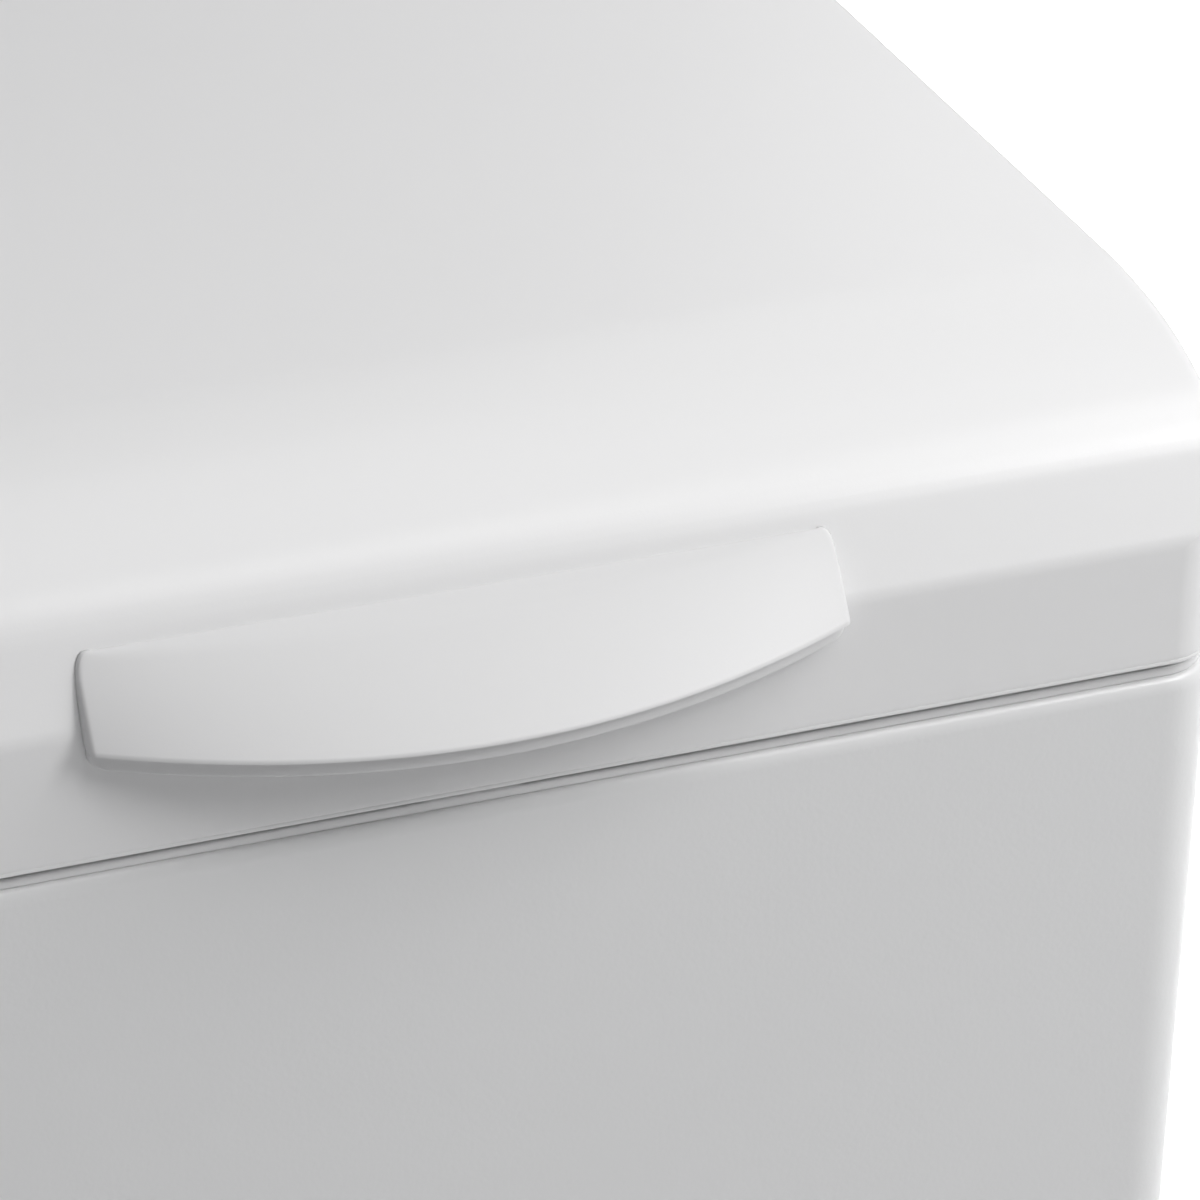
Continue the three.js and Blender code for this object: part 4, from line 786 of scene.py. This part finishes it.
def connections():
    """On the rear panel: the threaded inlet, the barbed drain outlet and the mains lead's ribbed gland."""
    wall = span("rear_panel")[1].y

    def outward(profile, node, sides):
        """A profile of (radius, distance from the panel), turned at the node's place."""
        at = middle_of(node)
        return moved(turned(lathe(profile, sides), -90, "X"), at.x, wall, at.z)

    low, high = span("inlet_valve")
    long = high.y - wall
    profile = [(0.4, 2), (8, 2), (8, long - 0.5), (9, long), (11.8, long)]
    for i in range(7):
        profile += [(13, long - 1.2 - i * 1.9), (12, long - 2.1 - i * 1.9)]
    profile += [(14.6, 3.6), (14.6, 1), (14.6, -3)]
    body = bar((low.x + 4, high.x - 4), (low.y, wall - 8), (low.z + 2, high.z - 2), 2)
    stand_in("inlet_valve", merged(outward(profile, "inlet_valve", 40), body))
    long = span("drain_outlet")[1].y - wall
    profile = [(0.4, -4), (8.5, -4), (8.5, long - 0.6), (9, long), (10.4, long), (11, long - 1.2)]
    profile += [(11, long - 2), (12.4, long - 2.6), (12.4, long - 4.6), (11, long - 5.2)]
    profile += [(11, 3.2), (15, 2.6), (15, 0.6), (15, -3)]
    stand_in("drain_outlet", outward(profile, "drain_outlet", 36))
    long = span("mains_gland")[1].y - wall
    profile = [(0.5, 12), (3.6, 12), (4.2, long - 0.8), (5.6, long)]
    for i in range(4):
        r, out = 6.6 + i * 0.45, 13.4 - i * 3.0
        profile += [(r, out), (r - 1.1, out - 0.6), (r - 1.1, out - 2), (r + 0.3, out - 2.6)]
    profile += [(12, 1.6), (12, 0.4), (12, -3)]
    stand_in("mains_gland", outward(profile, "mains_gland", 32))


# ---------------------------------------------------------------- deck and loading opening
RIM_SET_IN = 1.6


def deck():
    """The top deck with its loading mouth, the slot of the lid lock and the well of the dispenser."""
    low, high = DECK, DECK_TOP
    bellows_low, bellows_high = span("door_bellows")
    mouth_x = bellows_high.x - 8
    mouth_y = (bellows_low.y + 9, bellows_high.y - 9)

    def round_mouth(side, front, rear, r):
        return rounded((-mouth_x - side, mouth_x + side), (mouth_y[0] - front, mouth_y[1] + rear), r)

    house_low, house_high = span("dispenser_housing")
    well = rounded((house_low.x + 4.5, house_high.x - 4.5), (house_low.y + 3.5, house_high.y - 2), 4)
    lock_y = span("lid_lock")[0].y
    slot = rounded((-12, 12), (lock_y + 0.2, lock_y + 12.8), 1.5)
    mouth = hole(round_mouth(0, 0, 0, 10))
    left, right, front = low.x + RIM_SET_IN, high.x - RIM_SET_IN, low.y + RIM_SET_IN
    r = CORNER - 0.8 - RIM_SET_IN
    outside = [(right, high.y), (left, high.y)]
    outside += arc(left + r, front + r, r, 180, 270, 10) + arc(right - r, front + r, r, 270, 360, 10)
    skin = plate([outside, mouth, hole(slot), hole(well)], RIM_Z - 0.2, high.z, 2.0, 0.3, 6)
    collar = plate([round_mouth(3, 3, 3, 13), mouth], low.z, high.z - 0.2, 0.5)
    bead_loops = [round_mouth(7, 2.6, 7, 14), hole(round_mouth(1, 0.6, 1, 11))]
    bead = plate(bead_loops, high.z - 1, high.z + 1.0, 0.9, 0.1)
    stand_in("top_deck", merged(skin, collar, bead))


BELLOWS = {"folds": 3, "steps": 36, "inset": 9.0, "wave": 4.6, "held": 4}


def bellows():
    """A folded rubber sleeve, a wavy section carried round a rounded rectangle."""
    low, high = span("door_bellows")
    rows = []
    for i in range(BELLOWS["steps"] + 1):
        t = i / BELLOWS["steps"]
        wave = 0.5 - 0.5 * math.cos(2 * math.pi * BELLOWS["folds"] * t)
        back = BELLOWS["inset"] - BELLOWS["wave"] * wave
        outline = rounded((low.x + back, high.x - back), (low.y + back, high.y - back), 18, 8)
        rows.append([(p[0], p[1], low.z + (high.z - low.z) * t) for p in outline])
    middle = (low.y + high.y) / 2
    bends = ((0, middle, low.z + BELLOWS["held"]), (0, middle, high.z - BELLOWS["held"]))
    stand_in("door_bellows", grid(rows, around=True), wall=2.0, crease=80, bends=bends)


COIL = {"wire": 1.6, "turns": 8, "steps": 16, "lead": 14}


def springs():
    """The two coils that carry the tub, each with straight ends to its hanger and to the tub's lug."""
    for side in ("left", "right"):
        low, high = span(f"spring_{side}")
        x, y, wire = (low.x + high.x) / 2, (low.y + high.y) / 2, COIL["wire"]
        r, steps = (high.x - low.x) / 2 - wire, COIL["turns"] * COIL["steps"]
        bottom, top = low.z + COIL["lead"], high.z - COIL["lead"]
        path = [(x, y, low.z + 0.4), (x, y, low.z + 5), (x + r * 0.6, y, bottom - 2)]
        for i in range(steps + 1):
            turn, up = 2 * math.pi * i / COIL["steps"], bottom + (top - bottom) * i / steps
            path.append((x + r * math.cos(turn), y + r * math.sin(turn), up))
        path += [(x + r * 0.6, y, top + 2), (x, y, high.z - 5), (x, y, high.z - 0.4)]
        bends = ((x, y, bottom), (x, y, top))
        stand_in(f"spring_{side}", pipe(path, wire, 10), crease=60, bends=bends)


# Stops of the hose's run are (share of the way, height).
HOSE = {"r": 12.9, "ripple": 1.8, "stops": ((0.06, 152), (0.38, 140), (0.84, 142), (0.99, 131))}


def hose():
    """The ribbed hose from the tub's sump down to the pump."""
    low, high = span("sump_hose")
    r = HOSE["r"]
    start, end = Vector((low.x + r, high.y - r, high.z)), Vector((high.x - r, low.y + r, low.z))
    stops = [(*start.lerp(end, share).xy, z) for share, z in HOSE["stops"]]
    shape = pipe(flowing([start, *stops, end], 11), r, 20, ripple=HOSE["ripple"])
    stand_in("sump_hose", shape, crease=80, bends=(stops[0], stops[-1]))


CHAMBERS = 4
SIPHONS = (2, 3)


def dispenser():
    """The lift-out tray: four chambers marked by one to four bars, two of them with a siphon cap."""
    low, high = span("dispenser_tray")
    rim, pitch = high.z - 10, (high.x - low.x - 2) / CHAMBERS
    outside = rounded((low.x, high.x), (low.y, high.y), 8)
    lefts = [low.x + 2 + i * pitch for i in range(CHAMBERS)]
    chambers = [hole(rounded((x, x + pitch - 2), (low.y + 2, high.y - 2), 7, 8)) for x in lefts]
    shapes = [plate([outside] + chambers, low.z, rim, 0.8), plate([outside], low.z - 0.2, low.z + 2.4, 0.8)]
    shapes.append(plate([rounded((-22, 22), (high.y - 2.2, high.y), 1)], rim - 2, high.z, 0.9))
    middles = [x + pitch / 2 - 1 for x in lefts]
    cap = lathe([(9, 0, 1), (9, 40, 1), (8, 42), (3, 43), (0.5, 43)], 48, flute=0.8, waves=16)
    shapes += [moved(cap, middles[i], (low.y + high.y) / 2, low.z + 2.2) for i in SIPHONS]
    y, z = (low.y + 1.6, low.y + 2.5), (rim - 12, rim - 6)
    for i, x in enumerate(middles):
        shapes += [bar((x - 10 + 6 * k, x - 7 + 6 * k), y, z, 0.3) for k in range(i + 1)]
    stand_in("dispenser_tray", merged(*shapes))


def dispenser_housing():
    """The well that holds the tray, with a rim on the deck and a spout down to the tub."""
    low, high = span("dispenser_housing")
    inner = hole(rounded((low.x + 7.5, high.x - 7.5), (low.y + 6.5, high.y - 5), 8))
    outside = rounded((low.x + 5, high.x - 5), (low.y + 4, high.y - 2.5), 9)
    rim_plate = plate([rounded((low.x, high.x), (low.y, high.y), 7), inner], high.z - 1.7, high.z, 0.7)
    box = plate([outside, inner], low.z + 18, high.z - 0.5, 0.4)
    base = plate([outside], low.z + 18, low.z + 20.4, 0.4)
    spout = moved(lathe([(13, 0.5), (13.4, 0), (15.6, 0), (16, 0.5), (16, 20)], 28), -60, -180, low.z)
    stand_in("dispenser_housing", merged(rim_plate, box, base, spout))


# ---------------------------------------------------------------- console
def on_face(shape):
    return placed(shape, FACE)


def face_x(node):
    return middle_of(node).x


CHEEK = 2.5
SKIN_INSET = 1.6


def console():
    """The console's side cheeks, and the folded skin between them."""
    low, high = CONSOLE, CONSOLE_TOP
    slope_top = (FACE @ Vector((0, 104, 0))).y
    outline = [(low.y, low.z), (high.y, low.z)]
    outline += arc(high.y - 4, high.z - 4, 4, 0, 90, 6) + arc(slope_top + 6, high.z - 5, 5, 90, 112, 3)
    outline += arc(low.y + 3, FACE_ORIGIN.z - 3.4, 3, 112, 180, 6)
    left = plate([outline], -high.x, -high.x + CHEEK, 0.1, SKIN_INSET)
    right = plate([outline], high.x - CHEEK, high.x, SKIN_INSET, 0.1)
    edges = (-high.x + SKIN_INSET, -80, 0, 80, high.x - SKIN_INSET)
    rows = [[(x, *p) for p in outline[1:] + outline[:1]] for x in edges]
    piece("console_skin", grid(rows), "console_housing", wall=2.2)
    stand_in("console_housing", along_x(merged(left, right)))


TICKS = 16
TICK_FROM, TICK_TO, LONG_TICK = 29.5, 33.5, 1.5
PRINT = (FACE_THICK - 0.1, FACE_THICK + 0.12)
ROUND_BUTTONS = ("power_button", "start_button")
OPTION_BUTTONS = ("option_button_1", "option_button_2")


def fascia():
    """The grey front plate with an opening for each control, its printed marks and its small lamps."""
    low, high = span("console_fascia")
    loops = [rounded((low.x, high.x), (8.0, 100.0), 9, 8), hole(ring(face_x("program_knob"), FACE_MID, 4))]
    for node in ROUND_BUTTONS:
        a, b = span(node)
        loops.append(hole(ring(face_x(node), FACE_MID, (b.x - a.x) / 2 + 0.5, 40)))
    for node, gap, half in [(n, 0.5, 7.5) for n in OPTION_BUTTONS] + [("display_window", 0.3, 20.3)]:
        a, b = span(node)
        loops.append(hole(rounded((a.x - gap, b.x + gap), (FACE_MID - half, FACE_MID + half), 3.5)))
    stand_in("console_fascia", on_face(plate(loops, 0.3, FACE_THICK, 0.9, 0.1, 4)), finish=SATIN)
    marks = []
    for i in range(TICKS):
        tick = bar((TICK_FROM, TICK_TO + (0 if i % 4 else LONG_TICK)), (-0.45, 0.45), PRINT, 0.05, 0.3)
        marks.append(moved(turned(tick, 360 / TICKS * i, "Z"), face_x("program_knob"), FACE_MID))
    for x in [face_x(node) for node in OPTION_BUTTONS]:
        marks.append(bar((x - 5, x + 5), (FACE_MID + 12, FACE_MID + 13), PRINT, 0.05, 0.3))
    piece("fascia_marks", on_face(merged(*marks)), "console_fascia", finish=WHITE)
    lamp = lathe([(1.3, 0), (1.3, 0.3), (0.9, 0.6), (0.2, 0.7)], 16)
    lit = (*OPTION_BUTTONS, "start_button")
    lamps = [moved(lamp, face_x(node), FACE_MID + 17, PRINT[0]) for node in lit]
    piece("fascia_lamps", on_face(merged(*lamps)), "console_fascia", finish=LIT)


SEGMENTS = {"a": (0, 1, True), "b": (1, 0.5, False), "c": (1, -0.5, False), "d": (0, -1, True),
            "e": (-1, -0.5, False), "f": (-1, 0.5, False), "g": (0, 0, True)}
DIGITS = {"1": "bc", "3": "abcdg", "0": "abcdef"}
SEGMENT = {"out": 4.2, "up": 8, "long": 3.1, "thin": 0.75}
LIT_Z = (FACE_THICK + 0.42, FACE_THICK + 0.58)


def digit(char, x):
    """One seven-segment figure, 9 by 17 mm."""
    parts = []
    for name in DIGITS[char]:
        side, up, flat = SEGMENTS[name]
        cx, cy = x + side * SEGMENT["out"], FACE_MID + up * SEGMENT["up"]
        wide, tall = (SEGMENT["long"], SEGMENT["thin"]) if flat else (SEGMENT["thin"], SEGMENT["long"])
        parts.append(bar((cx - wide, cx + wide), (cy - tall, cy + tall), LIT_Z, 0.05, 0.7))
    return parts


def display():
    low, high = span("display_window")
    middle = (low.x + high.x) / 2
    outline = rounded((low.x, high.x), (FACE_MID - 20, FACE_MID + 20), 3.2)
    stand_in("display_window", on_face(plate([outline], 0.3, FACE_THICK + 0.5, 0.4)))
    parts = digit("1", middle - 22) + digit("3", middle + 2) + digit("0", middle + 18)
    dot = lathe([(0.9, 0), (0.9, 0.12), (0.2, 0.14)], 12)
    parts += [moved(dot, middle - 9, FACE_MID + up, FACE_THICK + 0.44) for up in (-3.5, 3.5)]
    starts = [middle - 34 + 9 * i for i in range(4)]
    parts += [bar((x, x + 5), (FACE_MID - 16, FACE_MID - 15), LIT_Z, 0.05, 0.4) for x in starts]
    piece("display_figures", on_face(merged(*parts)), "display_window", finish=LIT)


def knob():
    """The knob's collar, which goes down through the fascia, its fluted cap and the pointer on it."""
    x, base = face_x("program_knob"), FACE_THICK + 0.8
    profile = [(0.5, -9), (3, -9), (3, base), (24.5, base), (26, base + 0.8), (25.8, base + 2.2)]
    profile.append((24.8, base + 3))
    stand_in("program_knob", on_face(moved(lathe(profile, 72), x, FACE_MID)))
    profile = [(24, 2.8), (24.2, 3.4, 1), (23.4, 12, 1), (22.8, 14, 1), (22, 15.8)]
    profile += [(20.4, 16.9), (18, 17.1), (0.5, 16.6)]
    cap = lathe(profile, 144, flute=0.9, waves=24)
    piece("knob_cap", on_face(moved(cap, x, FACE_MID, base)), "program_knob", finish=WHITE)
    line = bar((-0.8, 0.8), (9, 19), (base + 16.6, base + 17.2), 0.2, 0.7)
    piece("knob_pointer", on_face(moved(line, x, FACE_MID)), "program_knob", finish=MARK)


def buttons():
    """Two round buttons with a dished top and a mark each, and two plain keys."""
    top = FACE_THICK + 3.5
    for node in ROUND_BUTTONS:
        low, high = span(node)
        r = (high.x - low.x) / 2
        profile = [(0.5, -8), (r, -8), (r, top - 1.2), (r - 0.35, top - 0.4), (r - 1.2, top)]
        profile += [(r - 2.4, top - 0.15), (r * 0.4, top - 0.7), (0.4, top - 0.8)]
        stand_in(node, on_face(moved(lathe(profile, 56), face_x(node), FACE_MID)))
    x, z = face_x("power_button"), (top - 0.85, top - 0.35)
    broken = [arc(x, FACE_MID, r, -230, 50, 30) for r in (3.9 * 0.84, 3.9)]
    sign = grid([[(*p, top - 0.42) for p in line] for line in broken])
    stem = bar((x - 0.35, x + 0.35), (FACE_MID + 1.2, FACE_MID + 5), z, 0.1, 0.3)
    piece("power_mark", on_face(merged(thick(sign, 0.3), stem)), "power_button", finish=MARK)
    x = face_x("start_button")
    arrow = plate([[(x - 5, FACE_MID - 4), (x + 0.6, FACE_MID), (x - 5, FACE_MID + 4)]], *z, 0.1)
    bars = [bar((x + 1.9 + k, x + 3 + k), (FACE_MID - 3.6, FACE_MID + 3.6), z, 0.1, 0.2) for k in (0, 2.2)]
    piece("start_mark", on_face(merged(arrow, *bars)), "start_button", finish=MARK)
    for node in OPTION_BUTTONS:
        low, high = span(node)
        key = plate([rounded((low.x, high.x), (FACE_MID - 7, FACE_MID + 7), 3)], -8, top, 1.1)
        stand_in(node, on_face(key))


def thick(sheet, high):
    """A flat sheet given a small height, as a closed solid."""
    points, faces = sheet
    count = len(points)
    edges = {}
    for side in faces:
        for a, b in zip(side, side[1:] + side[:1]):
            edges[(a, b)] = edges.get((a, b), 0) + 1
    rim = [(a, b, b + count, a + count) for a, b in edges if (b, a) not in edges]
    above = [p + Vector((0, 0, high)) for p in points]
    return points + above, faces + [tuple(i + count for i in side) for side in faces] + rim


# ---------------------------------------------------------------- drum
DOOR_X = 110.0
DOOR_HALF = 88.0
DOOR_ANGLE = math.degrees(math.asin(DOOR_HALF / DRUM_R))


def round_drum(x, degrees, r):
    """A point at an angle from straight up, turning towards +Y."""
    a = math.radians(degrees)
    return Vector((x, AXLE.y + r * math.sin(a), AXLE.z + r * math.cos(a)))


def pierced(x, angle, bore):
    """One cell of the drum's skin with a hole through it."""
    xs, angles = [x[0], sum(x) / 2, x[1]], [angle[0], sum(angle) / 2, angle[1]]
    rim = [(0, 0), (1, 0), (2, 0), (2, 1), (2, 2), (1, 2), (0, 2), (0, 1)]
    points = [round_drum(xs[i], angles[j], DRUM_R) for i, j in rim]
    if not bore:
        return points, [tuple(range(8))]
    step = math.degrees(bore / DRUM_R)
    for k in range(8):
        a = math.radians(-135 + 45 * k)
        points.append(round_drum(xs[1] + bore * math.cos(a), angles[1] + step * math.sin(a), DRUM_R))
    return points, [(k, (k + 1) % 8, 8 + (k + 1) % 8, 8 + k) for k in range(8)]


DRUM_EDGE = 8
DOOR_COLUMNS, DOOR_ROWS, SHELL_ROWS = 15, 12, 85
BORE = 1.7


def plain_cell(i, j, columns):
    """Cells without a bore: the rims, the rows beside the door and every twelfth row."""
    return i in (0, columns - 1) or j <= DOOR_ROWS or j > DOOR_ROWS + SHELL_ROWS - 2 or j % 12 == 0


def drum_shell():
    edge, rim = DRUM_HALF - DRUM_EDGE, DRUM_HALF - 1
    door = [DOOR_X * (2 * i / DOOR_COLUMNS - 1) for i in range(DOOR_COLUMNS + 1)]
    stops = [-rim, -edge, *door, edge, rim]
    angles = [DOOR_ANGLE * (2 * i / DOOR_ROWS - 1) for i in range(DOOR_ROWS + 1)]
    angles += [DOOR_ANGLE + (360 - 2 * DOOR_ANGLE) * i / SHELL_ROWS for i in range(1, SHELL_ROWS + 1)]
    cells = []
    for i, x in enumerate(zip(stops, stops[1:])):
        for j, angle in enumerate(zip(angles, angles[1:])):
            if j >= DOOR_ROWS or not 2 <= i < len(stops) - 3:
                cells.append(pierced(x, angle, 0 if plain_cell(i, j, len(stops) - 1) else BORE))
    stand_in("drum_shell", merged(*cells), wall=0.8, crease=30)


# The end plates' section as (radius, distance in from the drum's end).
END_PROFILE = [(13.2, 4), (60, 4), (66, 1), (120, 1), (128, 4.5), (180, 4.5), (188, 1), (226, 1),
               (229, 0.4)]
END_SIDES = 96


def drum_insides():
    """The two pressed end plates, and the three lifters, each as long as the drum."""
    profile = [*END_PROFILE, (DRUM_R - 0.2, 1.8)]
    ends = []
    for side in (-1, 1):
        rows = []
        for r, back in profile:
            x = side * (DRUM_HALF - back)
            rows.append([round_drum(x, 360 * k / END_SIDES, r) for k in range(END_SIDES)])
        ends.append(grid(rows, around=True))
    piece("drum_ends", merged(*ends), "drum_shell", wall=0.9, crease=30)
    base, tip, high = 24, 7, DRUM_R - 180
    outline = [(-base, 0), (base, 0)] + arc(tip - 4, high - 6, 6, 20, 90, 5)
    outline += arc(4 - tip, high - 6, 6, 90, 160, 5)
    lifter = moved(along_x(plate([outline], -DRUM_HALF + 3, DRUM_HALF - 3, 1.8)), z=1.6 - DRUM_R)
    lifters = [moved(turned(lifter, turn, "X"), 0, AXLE.y, AXLE.z) for turn in (-62, 62, 0)]
    piece("drum_lifters", merged(*lifters), "drum_shell", finish=TUB)


FLAP_ROWS, FLAP_COLUMNS = 16, 44
RIB = {"x": 70, "half": 9, "reach": 0.36, "deep": 1.2}


def flap(name, side):
    """A curved door leaf with two pressed ribs and two knuckles; the front one is open round its key."""
    reach, half = DOOR_ANGLE - math.degrees(0.008), DOOR_X - 1.5
    key_low, key_high = span("flap_button")
    rows = []
    for i in range(FLAP_ROWS + 1):
        t = i / FLAP_ROWS
        line = []
        for k in range(FLAP_COLUMNS + 1):
            x = -half + 2 * half * k / FLAP_COLUMNS
            rib = max(0, 1 - ((abs(x) - RIB["x"]) / RIB["half"]) ** 2)
            rib *= max(0, 1 - ((t - 0.5) / RIB["reach"]) ** 6)
            line.append(round_drum(x, side * (0.2 + (reach - 0.2) * t), DRUM_R - RIB["deep"] * rib))
        rows.append(line)

    def over_key(i, j):
        low, high = rows[i][j], rows[i + 1][j + 1]
        beside = max(abs(low.x), abs(high.x)) < key_high.x + 3
        along = min(low.y, high.y) > key_low.y - 6 and max(low.y, high.y) < key_high.y + 3
        return side < 0 and beside and along

    stand_in(name, grid(rows, skip=over_key), wall=1.6, bevel=0.5)
    knuckle = turned(lathe([(1.1, -15), (1.6, -14.4), (1.6, 14.4), (1.1, 15)], 16), 90, "Y")
    knuckles = [moved(knuckle, *round_drum(x, side * (reach - 0.35), DRUM_R - 1.8)) for x in (-74, 74)]
    piece(name + "_knuckles", merged(*knuckles), name)


def flap_key():
    low, high = span("flap_button")
    outline = rounded((low.x, high.x), (low.y, high.y), 4)
    x, z = (low.x + 8, high.x - 8), (high.z - 1, high.z + 0.1)
    ridges = [bar(x, (y, y + 1.2), z, 0.3) for y in [low.y + 4 + 3.4 * i for i in range(4)]]
    stand_in("flap_button", merged(plate([outline], low.z, high.z - 0.4, 1.0), *ridges))


# ---------------------------------------------------------------- pump filter and inner pieces
def filter_cap():
    at = middle_of("filter_cap")
    profile = [(0.5, 0), (28.4, 0), (29, 0.8, 1), (29, 3.6, 1), (28.2, 4.4), (20, 4.5), (19, 3.4)]
    profile.append((0.5, 3.4))
    disc = lathe(profile, 96, flute=0.8, waves=32)
    wing = bar((-22, 22), (-4, 4), (3, 9.4), 1.6, 3.6)
    shape = turned(merged(disc, wing), 90, "X")
    stand_in("filter_cap", moved(shape, at.x, span("filter_cap")[1].y, at.z))


def smooth_by_angle():
    """Modifier nodes that shade smooth and keep edges over 32 degrees sharp; the mesh stays as it is."""
    tree = bpy.data.node_groups.new("smooth_by_angle", "GeometryNodeTree")
    tree.interface.new_socket("Geometry", in_out="INPUT", socket_type="NodeSocketGeometry")
    tree.interface.new_socket("Geometry", in_out="OUTPUT", socket_type="NodeSocketGeometry")
    add, link = tree.nodes.new, tree.links.new
    source, sink = add("NodeGroupInput"), add("NodeGroupOutput")
    angle, limit = add("GeometryNodeInputMeshEdgeAngle"), add("FunctionNodeCompare")
    limit.operation = "LESS_EQUAL"
    limit.inputs["B"].default_value = math.radians(32)
    faces, edges = add("GeometryNodeSetShadeSmooth"), add("GeometryNodeSetShadeSmooth")
    edges.domain = "EDGE"
    link(source.outputs[0], faces.inputs["Geometry"])
    link(faces.outputs[0], edges.inputs["Geometry"])
    link(angle.outputs["Unsigned Angle"], limit.inputs["A"])
    link(limit.outputs[0], edges.inputs["Shade Smooth"])
    link(edges.outputs[0], sink.inputs[0])
    return tree


def carried_over():
    """CAD nodes that stay: each gets its slot's finish, softened edges and smooth shading."""
    tree = smooth_by_angle()
    for name, node in frame["nodes"].items():
        if node.hide_render:
            continue
        node.data.materials.clear()
        node.data.materials.append(FINISH[SLOT[name]])
        soften(node, 0.5, 2, 50)
        node.modifiers.new("shading", "NODES").node_group = tree


# ---------------------------------------------------------------- stage, light and camera
LAMP_COLOR = (1, 0.997, 0.993)


# Name, place, the point it shines at, size (all in metres), watts and spread in degrees.
LIGHTS = (
    ("key", (1.1, -1.3, 1.9), (0.05, -0.25, 0.85), 0.6, 14, 180),
    ("side", (1.5, -0.4, 1.6), (0.1, -0.2, 0.85), 0.8, 3, 180),
    ("upper_side", (1.2, -0.6, 2.2), (0.1, -0.2, 0.85), 0.8, 10, 180),
    ("far_front", (1.0, -2.6, 5.4), (0, -0.25, 0.85), 1.6, 32, 180),
    ("overhead", (0.3, 0.2, 3.2), (0, 0, 0.8), 2.2, 9, 180),
    ("rear_right", (1.6, 1.9, 2.2), (0, 0, 0.8), 1.4, 6, 180),
    ("rear_left", (-2.6, 1.4, 1.0), (-0.2, 0.2, 0.5), 1.6, 22, 180),
    ("floor_behind", (1.3, 1.4, 2.8), (1.1, 1.3, 0), 1.2, 27, 60),
)


def light(name, place, aim, size, power, spread):
    """A square lamp at one place that shines towards another."""
    lamp = bpy.data.lights.new(name, "AREA")
    lamp.size = size
    lamp.spread = math.radians(spread)
    lamp.energy = power
    lamp.color = LAMP_COLOR
    made = added(name, lamp)
    made.location = place
    made.rotation_mode = "QUATERNION"
    made.rotation_quaternion = (Vector(aim) - Vector(place)).to_track_quat("-Z", "Y")


FLOOR = {"near": 2.8, "far": 60.0, "glow": 0.72, "glow_from": 1.0, "glow_to": 4.0}


def pale_floor():
    """White, and shining by itself more and more with distance, so that the horizon stays pale."""
    made = material("pale_floor", (0.86, 0.86, 0.86), 0.75, bump=0.02, grain=60, shade=0.01, shade_scale=1)
    nodes, link = made.node_tree.nodes, made.node_tree.links.new
    place = nodes.new("ShaderNodeTexCoord")
    distance = nodes.new("ShaderNodeVectorMath")
    distance.operation = "LENGTH"
    rise = nodes.new("ShaderNodeMapRange")
    rise.interpolation_type = "SMOOTHSTEP"
    rise.inputs["From Min"].default_value = FLOOR["glow_from"]
    rise.inputs["From Max"].default_value = FLOOR["glow_to"]
    rise.inputs["To Max"].default_value = FLOOR["glow"]
    link(place.outputs["Object"], distance.inputs[0])
    link(distance.outputs["Value"], rise.inputs["Value"])
    shader = nodes["Principled BSDF"]
    shader.inputs["Emission Color"].default_value = (1, 1, 1, 1)
    link(rise.outputs["Result"], shader.inputs["Emission Strength"])
    return made


def floor_ring(name, radii, finish, lights_machine):
    """Part of the floor between two radii."""
    mesh = bpy.data.meshes.new(name)
    points, faces = grid([[(x, y, 0) for x, y in ring(0, 0, r, 96)] for r in radii], around=True)
    mesh.from_pydata(points, [], faces)
    mesh.materials.append(finish)
    made = added(name, mesh)
    made.visible_diffuse = made.visible_glossy = lights_machine


def studio():
    near, far, finish = FLOOR["near"], FLOOR["far"], pale_floor()
    floor_ring("floor", [0.01, near / 3, near], finish, True)
    floor_ring("floor_far", [near, near * 2, far / 3, far], finish, False)
    world = bpy.data.worlds.new("studio")
    world.use_nodes = True
    sky = world.node_tree.nodes["Background"]
    sky.inputs["Color"].default_value = (0.97, 0.975, 1.0, 1)
    sky.inputs["Strength"].default_value = 0.2
    bpy.context.scene.world = world
    for lamp in LIGHTS:
        light(*lamp)
    bpy.context.scene.view_settings.view_transform = "Standard"


CAMERA = {"place": (-232.5, -769.0, 513.7), "heading": 18.93, "pitch": 29.9, "lens": 119.3, "shift": 0.0033}


def camera():
    """The place is counted from the middle of the lid's front edge, at its lower rim."""
    lens = bpy.data.cameras.new("camera")
    lens.lens = CAMERA["lens"]
    lens.sensor_width = 36
    lens.shift_y = CAMERA["shift"]
    made = added("camera", lens)
    made.location = (Vector(CAMERA["place"]) + Vector((0, FRONT, GAP_Z))) * MM
    made.rotation_euler = (math.radians(90 - CAMERA["pitch"]), 0, -math.radians(CAMERA["heading"]))
    bpy.context.scene.camera = made


camera()
studio()
lid()
grip()
lid_underside()
hinges()
strike()
wrap()
kick()
feet()
back()
connections()
deck()
bellows()
springs()
hose()
dispenser()
dispenser_housing()
console()
fascia()
display()
knob()
buttons()
drum_shell()
drum_insides()
flap("drum_flap_front", -1)
flap("drum_flap_rear", 1)
flap_key()
filter_cap()
carried_over()

bpy.context.view_layer.update()
